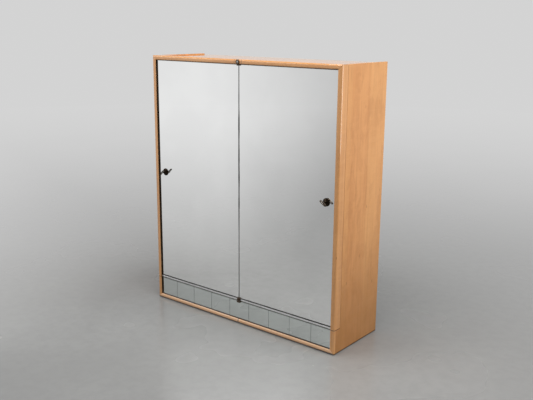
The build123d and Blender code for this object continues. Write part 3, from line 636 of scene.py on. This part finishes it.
def add_lathe(bm, profile, place, steps=48):
    """Revolve (radius, height) points, in millimetres, round the local Z axis of a placement matrix."""
    turns = [2 * math.pi * step / steps for step in range(steps)]
    rings = []
    for radius, height in profile:
        used = turns if radius else turns[:1]
        spots = [(radius * math.cos(turn), radius * math.sin(turn), height) for turn in used]
        rings.append([bm.verts.new(place @ (Vector(spot) * MM)) for spot in spots])
    for inner, outer in zip(rings[:-1], rings[1:]):
        for k in range(steps):
            j = (k + 1) % steps
            near = [inner[k % len(inner)], inner[j % len(inner)]]
            far = [outer[j % len(outer)], outer[k % len(outer)]]
            unique = list(dict.fromkeys(near + far))
            if len(unique) > 2:
                bm.faces.new(unique)


def facing(point, direction):
    """Placement whose local Z looks along a direction."""
    turn = Vector(direction).to_track_quat("Z", "Y").to_matrix().to_4x4()
    return Matrix.Translation(Vector(point)) @ turn


def solids_of(node):
    """Vertices of each separate solid in a CAD node, in the order of their height and place."""
    bm = bmesh.new()
    bm.from_mesh(frame["nodes"][node].data)
    bmesh.ops.remove_doubles(bm, verts=bm.verts, dist=1e-6)
    left = set(bm.verts)
    groups = []
    while left:
        stack = [left.pop()]
        members = []
        while stack:
            vert = stack.pop()
            members.append(vert.co.copy())
            for edge in vert.link_edges:
                other = edge.other_vert(vert)
                if other in left:
                    left.remove(other)
                    stack.append(other)
        groups.append(members)
    bm.free()

    def middle(group):
        return tuple(round(value, 4) for value in sum(group, Vector()) / len(group))

    return sorted(groups, key=middle)


def extent(points):
    """Lowest and highest corner of some points."""
    low = Vector([min(point[axis] for point in points) for axis in (X, Y, Z)])
    high = Vector([max(point[axis] for point in points) for axis in (X, Y, Z)])
    return low, high


# ---- carcass
def side_panels():
    """Veneered sides: full height behind the door, with a foot that runs forward under it."""
    for side in SIDES:
        node = f"{side}_side_panel"
        low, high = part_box(node)
        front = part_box("top_board")[0].y
        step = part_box(f"{side}_plinth_moulding")[1].z
        behind = [(high.y, low.z), (high.y, high.z), (front, high.z)]
        foot = [(front, step), (low.y, step), (low.y, low.z)]
        bm = bmesh.new()
        add_prism(bm, behind + foot, X, low.x, high.x)
        finished(node, bm, ["honey_side"], bevel=1.2 * MM)


def top_rail():
    """Rounded rail above the doors, mitred at its ends, with a short block behind the centre boss."""
    low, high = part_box("top_front_rail")
    outline = rounded_rectangle((low.y, low.z), (high.y, high.z), (LOWER_ROUND, 0, 0, OUTER_ROUND))
    bm = bmesh.new()
    add_prism(bm, outline, X, low.x, -RAIL_BLOCK - BLOCK_JOINT)
    add_prism(bm, outline, X, -RAIL_BLOCK, RAIL_BLOCK)
    add_prism(bm, outline, X, RAIL_BLOCK + BLOCK_JOINT, high.x)
    bmesh.ops.recalc_face_normals(bm, faces=bm.faces)
    for side in SIDES:
        inner, outer = moulding_edges(side)
        cut_away(bm, (inner, low.z), (outer, high.z), below=True)
    finished("top_front_rail", bm, ["honey_level"], bevel=0.6 * MM)


def moulding_edges(side):
    """X of the inner and outer faces of the upright mouldings on one side."""
    low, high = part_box(f"{side}_plinth_moulding")
    return (low.x, high.x) if SIDES[side] > 0 else (high.x, low.x)


def cut_away(bm, start, end, below):
    """Cut along an (x, z) line, and close the cut. What lies below the line goes, or what lies above."""
    along_line = Vector((end[0] - start[0], 0, end[1] - start[1]))
    normal = Vector((-along_line.z, 0, along_line.x))
    if (normal.z > 0) != below:
        normal = -normal
    whole = list(bm.verts) + list(bm.edges) + list(bm.faces)
    plane = {"plane_co": (start[0], 0, start[1]), "plane_no": normal}
    cut = bmesh.ops.bisect_plane(bm, geom=whole, dist=1e-7, clear_inner=True, **plane)
    edges = [item for item in cut["geom_cut"] if isinstance(item, bmesh.types.BMEdge)]
    bmesh.ops.edgeloop_fill(bm, edges=[edge for edge in edges if len(edge.link_faces) == 1])


def upright_moulding(side, node, mitre, at_top):
    """Rounded upright: a large round outside, and a stained rebate beside the mirror."""
    low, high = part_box(node)
    inner, outer = moulding_edges(side)
    outline = rounded_rectangle((outer, low.y), (inner, high.y), (OUTER_ROUND, INNER_ROUND, 0, 0))
    bm = bmesh.new()
    add_prism(bm, outline, Z, low.z, high.z)
    bmesh.ops.recalc_face_normals(bm, faces=bm.faces)
    cut_away(bm, (inner, mitre), (outer, high.z if at_top else low.z), below=not at_top)
    for face in bm.faces:
        if abs(face.calc_center_median().x - inner) < 0.1 * MM:
            face.material_index = 1
    finished(node, bm, ["honey_upright", "stain"], bevel=0.5 * MM)


def bottom_moulding(side, corner):
    """Half of the moulding along the floor, mitred at its outer end, with its upper edge in the dark stain
    as painted shade.
    """
    node = f"{side}_bottom_moulding"
    low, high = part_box(node)
    outline = rounded_rectangle((low.y, low.z), (high.y, high.z), (LOWER_ROUND, 0, 0, OUTER_ROUND))
    inner, outer = moulding_edges(side)
    bm = bmesh.new()
    add_prism(bm, outline, X, low.x, high.x)
    bmesh.ops.recalc_face_normals(bm, faces=bm.faces)
    cut_away(bm, (inner, corner), (outer, low.z), below=False)
    # Painted shade: the upper edge by the tiles takes the dark stain.
    stain_low = high.z - 2.5 * MM
    stain_front = low.y + 4.5 * MM
    for face in bm.faces:
        middle = face.calc_center_median()
        if middle.z > stain_low and middle.y > stain_front:
            face.material_index = 1
    finished(node, bm, ["honey_moulding_painted_light", "stain"], bevel=0.5 * MM)


def mouldings():
    """Door stiles, plinth uprights, and the moulding along the floor in two halves."""
    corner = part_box("plinth_mirror_tiles")[0].z - MM
    rail_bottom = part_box("top_front_rail")[0].z
    for side in SIDES:
        upright_moulding(side, f"{side}_door_outer_stile", rail_bottom - MITRE_GAP, at_top=True)
        upright_moulding(side, f"{side}_plinth_moulding", corner, at_top=False)
        bottom_moulding(side, corner)


def plain_boards():
    board("top_board", "honey_top")
    board("centre_partition", "inner_upright")
    board("hat_shelf", "inner_level", bevel=1.5 * MM)
    for number in (1, 2, 3):
        board(f"shelf_{number}", "inner_level", bevel=1.5 * MM)
    board("plinth_front_board", "stain")
    board("plinth_back_rail", "inner_level")
    board("plinth_centre_support", "inner_level")
    for side in SIDES:
        board(f"{side}_back_panel", "plywood", bevel=0.6 * MM)
        board(f"{side}_door_back_skin", "inner_upright", bevel=0.6 * MM)
        board(f"{side}_door_front_skin", "plywood", bevel=0.4 * MM)
        board(f"{side}_door_inner_stile", "inner_upright", bevel=0.6 * MM)


def bottom_board():
    """Cabinet floor. Its front strip, the ledge under the doors, takes the rebates' dark stain as painted
    shade.
    """
    low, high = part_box("bottom_board")
    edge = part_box("top_board")[0].y
    bm = bmesh.new()
    add_box(bm, (low.x, edge, low.z), high)
    add_box(bm, low, (high.x, edge, high.z), index=1)
    finished("bottom_board", bm, ["inner_level", "stain"], bevel=1.0 * MM)


# ---- glass
def add_plate(bm, low, high, arris, turn=Matrix.Identity(4)):
    """Glass plate: silvered face (material 0), arris (1, its top 3) and edge behind it (2)."""
    rings = []
    for inset, y in ((arris, low.y), (0.0, low.y + arris), (0.0, high.y)):
        xs = (low.x + inset, high.x - inset)
        zs = (low.z + inset, high.z - inset)
        corners = ((xs[0], zs[0]), (xs[1], zs[0]), (xs[1], zs[1]), (xs[0], zs[1]))
        rings.append([bm.verts.new(turn @ Vector((x, y, z))) for x, z in corners])
    bm.faces.new(rings[0]).material_index = 0
    bm.faces.new(rings[2][::-1]).material_index = 2
    for index, (front, rear) in enumerate(zip(rings[:-1], rings[1:])):
        for k in range(4):
            j = (k + 1) % 4
            face = bm.faces.new([front[k], rear[k], rear[j], front[j]])
            face.material_index = 3 if k == 2 and index == 0 else index + 1


def door_mirrors():
    for side in SIDES:
        node = f"{side}_door_mirror"
        bm = bmesh.new()
        add_plate(bm, *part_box(node), arris=MIRROR_ARRIS)
        finished(node, bm, ["mirror", "edge", "edge", "arris"])


def plinth_tiles():
    """Nine tiles set by hand, so each leans by a hair from its neighbours."""
    bm = bmesh.new()
    inset = Vector((0, TILE_SET_BACK, 0))
    most_swing, most_tip = [math.radians(degrees) for degrees in TILE_LEAN]
    for number, solid in enumerate(solids_of("plinth_mirror_tiles")):
        low, high = extent(solid)
        centre = (low + high) / 2
        swing = most_swing * math.sin(2.3 * number + 0.7)
        tip = most_tip * math.sin(1.7 * number + 2.0)
        turn = Matrix.Rotation(swing, 4, "Z") @ Matrix.Rotation(tip, 4, "X")
        turn = Matrix.Translation(centre) @ turn @ Matrix.Translation(-centre)
        add_plate(bm, low + inset, high, arris=TILE_ARRIS, turn=turn)
    finished("plinth_mirror_tiles", bm, ["tile", "edge", "tile_edge_shaded", "tile_edge_shaded"])


# ---- screws
def screw_mesh(head, length):
    """Countersunk screw with a cut slot. The head's face is at the origin and the shank runs along +Z."""
    bm = bmesh.new()
    bmesh.ops.create_circle(bm, cap_ends=True, segments=24, radius=head)
    slot = 0.2 * head
    for offset in (-slot, slot):
        whole = list(bm.verts) + list(bm.edges) + list(bm.faces)
        bmesh.ops.bisect_plane(bm, geom=whole, plane_co=(0, offset, 0), plane_no=(0, 1, 0))
    middle = [face for face in bm.faces if abs(face.calc_center_median().y) < slot]
    rim = [edge for edge in bm.edges if len(edge.link_faces) == 1]
    sunk = bmesh.ops.extrude_discrete_faces(bm, faces=middle)["faces"]
    bmesh.ops.translate(bm, verts=sunk[0].verts, vec=(0, 0, 0.35 * head))
    cone = 0.6 * head
    for width, depth in ((0.45, cone), (1.0, length - cone), (0.3, 0.0)):
        grown = bmesh.ops.extrude_edge_only(bm, edges=rim)["geom"]
        verts = [item for item in grown if isinstance(item, bmesh.types.BMVert)]
        rim = [item for item in grown if isinstance(item, bmesh.types.BMEdge)]
        bmesh.ops.scale(bm, verts=verts, vec=(width, width, 1))
        bmesh.ops.translate(bm, verts=verts, vec=(0, 0, depth))
    mesh = bpy.data.meshes.new("screw")
    bm.to_mesh(mesh)
    bm.free()
    return mesh


def screw_stance(points):
    """Centre of the head's face, the direction of the shank, the head's radius and the length."""
    low, high = extent(points)
    size = high - low
    axis = max((X, Y, Z), key=lambda k: size[k])
    centre = (low + high) / 2
    reach = {}
    for level in (low[axis], high[axis]):
        near = [point for point in points if abs(point[axis] - level) < 0.1 * MM]
        a, b = extent(near)
        reach[level] = max(b - a)
    face = max(reach, key=reach.get)
    direction = Vector((0, 0, 0))
    direction[axis] = 1.0 if face == low[axis] else -1.0
    centre[axis] = face
    return centre, direction, reach[face] / 2, size[axis]


def screws(node):
    """Every screw of a node, each with its slot turned its own way."""
    bm = bmesh.new()
    for number, points in enumerate(solids_of(node)):
        centre, direction, head, length = screw_stance(points)
        place = facing(centre, direction) @ Matrix.Rotation(2.4 * number, 4, "Z")
        mesh = screw_mesh(head, length)
        known = len(bm.verts)
        bm.from_mesh(mesh)
        bm.verts.ensure_lookup_table()
        bmesh.ops.transform(bm, matrix=place, verts=bm.verts[known:])
        bpy.data.meshes.remove(mesh)
    finished(node, bm, ["steel"])


# ---- centre pivots
def top_boss():
    """Round hollow boss on the rail, with its plate under the rail."""
    low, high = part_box("top_pivot_bracket")
    middle = Vector((0, low.y, (low.z + high.z) / 2))
    depth = (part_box("top_front_rail")[0].y - low.y + SHOE) / MM
    radius = BOSS_RADIUS / MM
    mouth = CAP_RADIUS / MM + 1.2
    floor_depth = BOSS_RECESS / MM
    profile = [
        (radius, depth), (radius, 1.2), (radius - 0.4, 0.4), (radius - 1.3, 0.0), (mouth + 2.2, 0.0),
        (mouth + 0.8, 0.5), (mouth, 1.4), (mouth, floor_depth), (0, floor_depth),
    ]
    bm = bmesh.new()
    add_lathe(bm, profile, facing(middle, (0, 1, 0)))
    tongue = BOSS_RADIUS - MM
    inset = 0.1 * MM
    add_box(bm, (-tongue, low.y + BOSS_RECESS, low.z), (tongue, high.y, low.z + SHOE))
    wing_low = (-PLATE_HALF, high.y - WING_DEPTH, low.z)
    wing_high = (PLATE_HALF, high.y - inset, low.z + SHOE - inset)
    add_box(bm, wing_low, wing_high)
    finished("top_pivot_bracket", bm, ["worn_bronze"])


def cap_screw():
    """Domed screw in the recess of the boss."""
    low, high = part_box("top_pivot_cap_screw")
    front = Vector((0, low.y, (low.z + high.z) / 2))
    profile = [
        (0, 0.0), (2.5, 0.15), (4.6, 0.7), (6.4, 1.6), (7.3, 2.6),
        (7.5, 3.2), (2.5, 3.4), (2.5, 20.0), (0, 20.0),
    ]
    bm = bmesh.new()
    add_lathe(bm, profile, facing(front, (0, 1, 0)))
    finished("top_pivot_cap_screw", bm, ["steel"])


def bottom_bracket():
    """Plate under the doors, with a rounded nose in front of the tiles."""
    low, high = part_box("bottom_pivot_bracket")
    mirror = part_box("left_door_mirror")[0].y
    outline = rounded_rectangle((-NOSE_HALF, low.y), (NOSE_HALF, mirror), (NOSE_ROUND, NOSE_ROUND, 0, 0))
    bm = bmesh.new()
    add_prism(bm, outline, Z, low.z, high.z)
    add_box(bm, (low.x, mirror, high.z - LEDGE_PLATE), (high.x, high.y, high.z))
    finished("bottom_pivot_bracket", bm, ["worn_bronze"], bevel=0.5 * MM)


def eased_rod(radius, length, ease=0.5, bore=0):
    """Profile of a rod or tube with eased rims."""
    rims = [(radius - ease, 0.0), (radius, ease), (radius, length - ease), (radius - ease, length)]
    return [(bore, 0.0)] + rims + [(bore, length)]


def pivot_shoes():
    """Plates on the door's top and bottom edges, each with a knuckle round a pin."""
    middle = (cad_box[0][Z] + cad_box[1][Z]) / 2
    for side, (start, end) in SHOE_SPAN.items():
        node = f"{side}_door_pivot_shoes"
        bm = bmesh.new()
        for solid in solids_of(node):
            low, high = extent(solid)
            plate_low = high.z - SHOE if low.z > middle else low.z
            back = low.y + 2 * KNUCKLE_RADIUS
            add_box(bm, (start, back, plate_low), (end, high.y, plate_low + SHOE))
            centre = Vector((SIDES[side] * PIVOT_X, low.y + KNUCKLE_RADIUS, low.z))
            profile = eased_rod(KNUCKLE_RADIUS / MM, (high.z - low.z) / MM, bore=2.6)
            add_lathe(bm, profile, Matrix.Translation(centre), steps=32)
        finished(node, bm, ["worn_bronze"])


# ---- door metalwork
def mirror_channels():
    """Aluminium lip and flange under each mirror, and the dark strip between lip and glass."""
    for side, sign in SIDES.items():
        node = f"{side}_door_mirror_channel"
        low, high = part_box(node)
        back = low.y + CHANNEL_SHEET
        radii = (0.4 * MM, 0, 0.4 * MM, 0.7 * MM)
        outline = rounded_rectangle((low.y, low.z), (back, high.z), radii, steps=3)
        bm = bmesh.new()
        add_prism(bm, outline, X, low.x, high.x)
        ends = (CHANNEL_START, high.x) if sign > 0 else (low.x, -CHANNEL_START)
        add_box(bm, (ends[0], back, low.z), (ends[1], high.y, low.z + CHANNEL_SHEET))
        finished(node, bm, ["aluminium"])
        board(f"{side}_door_mirror_gasket", "rubber", bevel=0.3 * MM)


def handle_plates():
    """Domed rosette on the mirror, with a beaded edge, and the flat plate inside the door."""
    for side in SIDES:
        node = f"{side}_door_handle_plates"
        outside, inside = sorted(solids_of(node), key=lambda points: extent(points)[0].y)
        bm = bmesh.new()
        low, high = extent(outside)
        radius = (high.x - low.x) / 2 / MM
        height = (high.y - low.y) / MM
        middle = (low + high) / 2
        dome = [
            (radius - 0.8, 0.0), (radius, 0.7), (radius, 1.8), (radius - 0.7, 2.7),
            (radius - 1.9, 3.0), (radius - 2.6, 2.7), (radius - 3.2, 3.1), (0.78 * radius, 5.2),
            (0.62 * radius, 7.4), (0.46 * radius, 9.0), (0.36 * radius, 9.6),
            (0.33 * radius, height - 0.4), (0.30 * radius, height), (4.3, height), (4.2, height - 1.5),
        ]
        add_lathe(bm, dome, facing((middle.x, high.y, middle.z), (0, -1, 0)), steps=64)
        flat = [
            (radius, 0.0), (radius, 2.2), (radius - 0.8, 3.0), (9.8, 3.0),
            (9.0, 3.6), (9.0, 11.2), (8.4, 12.0), (4.3, 12.0),
        ]
        face = extent(inside)[0].y
        add_lathe(bm, flat, facing((middle.x, face, middle.z), (0, 1, 0)), steps=64)
        finished(node, bm, ["bronze"])


def grips():
    """Flat oval ring on a turned neck: lighter on its faces, as rubbed wear and painted sheen, dark on its
    rims.
    """
    for side, sign in SIDES.items():
        node = f"{side}_handle_grip"
        low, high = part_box(node)
        centre = (low + high) / 2
        ring_middle = Vector((centre.x, low.y + RING_DEPTH / 2, centre.z))
        tilt = Matrix.Rotation(math.radians(sign * GRIP_TILT[side]), 4, "Y")
        bm = bmesh.new()
        add_ring(bm, Matrix.Translation(ring_middle) @ tilt)
        neck_length = (high.y - low.y - RING_DEPTH) / MM
        neck = [
            (0, 0.0), (7.0, 0.0), (7.2, 0.6), (6.9, 1.6), (5.6, 2.6), (4.8, 5.0), (4.4, 9.0),
            (4.7, neck_length - 3.0), (5.2, neck_length - 1.6),
            (4.9, neck_length - 0.4), (3.4, neck_length + 1.6),
        ]
        add_lathe(bm, neck, facing((centre.x, high.y, centre.z), (0, -1, 0)))
        finished(node, bm, ["bronze", "rubbed_bronze_and_painted_sheen"])


def squared(value):
    """Sine or cosine for a section between an ellipse and a rectangle."""
    return math.copysign(abs(value) ** RING_SQUARENESS, value)


def add_ring(bm, place, steps=96, around=20):
    """Oval ring in its own XY plane, with a softly squared section."""
    straight = (RING_LENGTH - RING_DEPTH) / 2
    bend = (RING_DEPTH - RING_BAR) / 2
    loops = []
    for step in range(steps):
        angle = 2 * math.pi * step / steps
        outward = Vector((math.cos(angle), math.sin(angle), 0))
        shift = straight if outward.x > 0 else -straight
        spine = Vector((shift, 0, 0)) + bend * outward
        loop = []
        for part in range(around):
            turn = 2 * math.pi * (part + 0.5) / around
            wide = squared(math.cos(turn)) * RING_BAR / 2
            thick = squared(math.sin(turn)) * RING_THICKNESS / 2
            loop.append(bm.verts.new(place @ (spine + wide * outward + Vector((0, 0, thick)))))
        loops.append(loop)
    for k, loop in enumerate(loops):
        following = loops[(k + 1) % steps]
        for part in range(around):
            j = (part + 1) % around
            face = bm.faces.new([loop[part], loop[j], following[j], following[part]])
            turn = 2 * math.pi * (part + 1) / around
            # the flat faces take the lighter bronze: rubbed wear and painted sheen
            face.material_index = 1 if abs(math.sin(turn)) > 0.75 else 0


def latch_tongues():
    """Flat arm with round ends on the inner end of each spindle."""
    for side in SIDES:
        node = f"{side}_latch_tongue"
        low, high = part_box(node)
        middle = (low.x + high.x) / 2
        hub_z = high.z - HUB_RADIUS
        tip = TONGUE_HALF - 0.1 * MM
        ends = (middle - TONGUE_HALF, low.z), (middle + TONGUE_HALF, hub_z)
        bm = bmesh.new()
        add_prism(bm, rounded_rectangle(*ends, (tip, tip, 0, 0)), Y, low.y, high.y)
        hub = eased_rod(HUB_RADIUS / MM, 3.0, ease=0.4, bore=4.2)
        add_lathe(bm, hub, facing((middle, low.y, hub_z), (0, 1, 0)))
        finished(node, bm, ["steel"], bevel=0.4 * MM)


# ---- inside fittings
def hanging_rail():
    """Nickel tube between two flanged sockets."""
    low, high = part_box("hanging_rail")
    middle = (low + high) / 2
    radius = (high.z - low.z) / 2 / MM
    length = (high.x - low.x) / MM
    start = Vector((low.x, middle.y, middle.z))
    bore = radius - 1.5
    tube = [(bore, 0.0), (radius, 0.0), (radius, length), (bore, length), (bore, 0.0)]
    bm = bmesh.new()
    add_lathe(bm, tube, facing(start, (1, 0, 0)), steps=64)
    finished("hanging_rail", bm, ["nickel"])
    bm = bmesh.new()
    socket = [
        (radius + 0.1, 14.0), (15.0, 14.0), (15.5, 13.4), (15.5, 4.6),
        (16.6, 3.0), (26.0, 3.0), (27.0, 2.0), (27.0, 0.0),
    ]
    for solid in solids_of("rail_sockets"):
        low, high = extent(solid)
        inward = 1 if low.x < middle.x else -1
        wall = low.x if inward > 0 else high.x
        add_lathe(bm, socket, facing((wall, middle.y, middle.z), (inward, 0, 0)), steps=64)
    finished("rail_sockets", bm, ["nickel"])


def small_turned(node, material, profile_of):
    """Turned pieces that share a node, each revolved about its own axis."""
    bm = bmesh.new()
    for solid in solids_of(node):
        low, high = extent(solid)
        place, profile = profile_of(low, high)
        add_lathe(bm, profile, place, steps=32)
    finished(node, bm, [material])


def shelf_pin(low, high):
    middle = (low + high) / 2
    radius = (high.z - low.z) / 2 / MM
    length = (high.x - low.x) / MM
    return facing((low.x, middle.y, middle.z), (1, 0, 0)), eased_rod(radius, length)


def bumper(low, high):
    middle = (low + high) / 2
    radius = (high.z - low.z) / 2 / MM
    depth = (high.y - low.y) / MM
    profile = [(radius, 0.0), (radius, 0.5 * depth), (0.8 * radius, 0.9 * depth)]
    profile += [(0.4 * radius, depth), (0, depth)]
    return facing((middle.x, high.y, middle.z), (0, -1, 0)), profile


def glide(low, high):
    middle = (low + high) / 2
    radius = (high.x - low.x) / 2 / MM
    height = (high.z - low.z) / MM
    foot = [(0, 0.0), (radius - 1.2, 0.0), (radius - 0.4, 0.5)]
    profile = foot + [(radius, 1.4), (radius, height), (0, height)]
    return Matrix.Translation((middle.x, middle.y, low.z)), profile


def keepers():
    """Steel angles on the side panels, behind which the latch tongues turn."""
    bm = bmesh.new()
    for solid in solids_of("keepers"):
        low, high = extent(solid)
        outer, step = (high.x, -1) if high.x > 0 else (low.x, 1)
        base = sorted((outer, outer + step * KEEPER_PLATE))
        lip = sorted((outer, outer + step * KEEPER_LIP))
        front = low.y + KEEPER_LIP_DEPTH
        add_box(bm, (base[0], front, low.z), (base[1], high.y, high.z))
        add_box(bm, (lip[0], low.y, low.z), (lip[1], front, high.z))
    finished("keepers", bm, ["steel"], bevel=0.4 * MM)


def inside_fittings():
    hanging_rail()
    keepers()
    small_turned("shelf_pins", "steel", shelf_pin)
    small_turned("door_bumpers", "rubber", bumper)
    small_turned("floor_glides", "steel", glide)


# ---- stage
def floor():
    """Grey floor that fades into the room's tones away from the armoire, with a round wall."""
    wall = FLOOR_RADIUS / MM
    profile = [(0, 0.0), (wall, 0.0), (wall, WALL_HEIGHT / MM)]
    bm = bmesh.new()
    add_lathe(bm, profile, Matrix.Identity(4), steps=FLOOR_SIDES)
    mesh = bpy.data.meshes.new("floor")
    bm.to_mesh(mesh)
    bm.free()
    mesh.materials.append(floor_material())
    new_object("floor", mesh)


def floor_material():
    """Mottled grey near the armoire, and the room's own glow farther off."""
    s = Shader("floor")
    where = s.coords((1, 1, 0))
    distance = s.node("ShaderNodeVectorMath", {0: where}, operation="LENGTH").outputs["Value"]
    reach = s.times(s.minus(distance, FADE_START), -1 / FADE_LENGTH)
    far = s.minus(1.0, s.math("EXPONENT", s.math("MINIMUM", reach, 0.0)))
    cloud = s.noise(s.coords(FLOOR_CLOUD), detail=3.0)
    speckle = s.noise(s.coords(FLOOR_SPECKLE), detail=4.0, roughness=0.6)
    tone = s.mix(s.span(cloud, 0.3, 0.7), FLOOR_TONE, shade(FLOOR_TONE, 1.10))
    s.set(Base_Color=s.mix(s.span(speckle, 0.35, 0.7, 0.0, 0.5), tone, shade(FLOOR_TONE, 0.92)))
    s.set(Roughness=s.span(cloud, 0.2, 0.8, 0.22, 0.30))
    sky = s.span(s.split(s.coords())[Z], SKY_START, SKY_END)
    tone = s.mix(sky, room_tone(s, s.split(where)), (SKY_TONE, SKY_TONE, SKY_TONE))
    glow = s.node("ShaderNodeEmission", {"Color": tone}).outputs["Emission"]
    blend = s.node("ShaderNodeMixShader", {"Fac": far, 1: s.surface.outputs["BSDF"], 2: glow})
    s.put(s.output.inputs["Surface"], blend.outputs["Shader"])
    return s.material


def room_tone(s, part):
    """Grey level of the room in each direction round the armoire."""
    angle = s.math("ARCTAN2", part[X], s.times(part[Y], -1.0))
    ramp = s.node("ShaderNodeValToRGB", {"Fac": s.span(angle, -math.pi, math.pi, smooth=False)})
    stops = ramp.color_ramp.elements
    while len(stops) < len(ROOM_TONES):
        stops.new(0.5)
    for stop, (degrees, level) in zip(stops, ROOM_TONES):
        stop.position = (degrees + 180) / 360
        stop.color = (level, level, level, 1.0)
    return ramp.outputs["Color"]


def room():
    """Dim even light from above the wall."""
    world = bpy.data.worlds.new("room")
    bpy.context.scene.world = world
    world.use_nodes = True
    background = world.node_tree.nodes["Background"]
    background.inputs["Color"].default_value = (SKY_TONE, SKY_TONE, SKY_TONE, 1.0)


def softbox(name, place, target, size, power):
    light = bpy.data.lights.new(name, "AREA")
    light.shape = "RECTANGLE"
    light.size, light.size_y = size
    light.energy = power
    lamp = new_object(name, light)
    lamp.location = place
    lamp.rotation_mode = "QUATERNION"
    lamp.rotation_quaternion = (Vector(target) - Vector(place)).to_track_quat("-Z", "Y")


def camera():
    data = bpy.data.cameras.new("camera")
    data.lens = CAMERA_LENS
    data.sensor_width = SENSOR_WIDTH
    seat = new_object("camera", data)
    yaw, pitch, roll = [math.radians(turn) for turn in (CAMERA_YAW, CAMERA_PITCH, CAMERA_ROLL)]
    look = Matrix.Rotation(-yaw, 4, "Z") @ Matrix.Rotation(math.pi / 2 + pitch, 4, "X")
    seat.matrix_world = Matrix.Translation(CAMERA_PLACE) @ look @ Matrix.Rotation(roll, 4, "Z")
    bpy.context.scene.camera = seat


def carried_over():
    """CAD pieces whose shape stays as it is take the finish of their slot."""
    finishes = {"honey_wood": "honey_upright", "inner_wood": "inner_level"}
    for piece in frame["nodes"].values():
        slot = piece.data.materials[0].name
        piece.material_slots[0].material = MATERIALS[finishes.get(slot, slot)]


side_panels()
top_rail()
mouldings()
plain_boards()
bottom_board()
door_mirrors()
plinth_tiles()
top_boss()
cap_screw()
bottom_bracket()
pivot_shoes()
mirror_channels()
handle_plates()
grips()
latch_tongues()
inside_fittings()
for screw_node in ("back_panel_screws", "fitting_screws", "left_door_screws", "right_door_screws"):
    screws(screw_node)
carried_over()

camera()
room()
floor()
for lamp_settings in SOFTBOXES:
    softbox(*lamp_settings)
bpy.context.scene.view_settings.view_transform = "Standard"
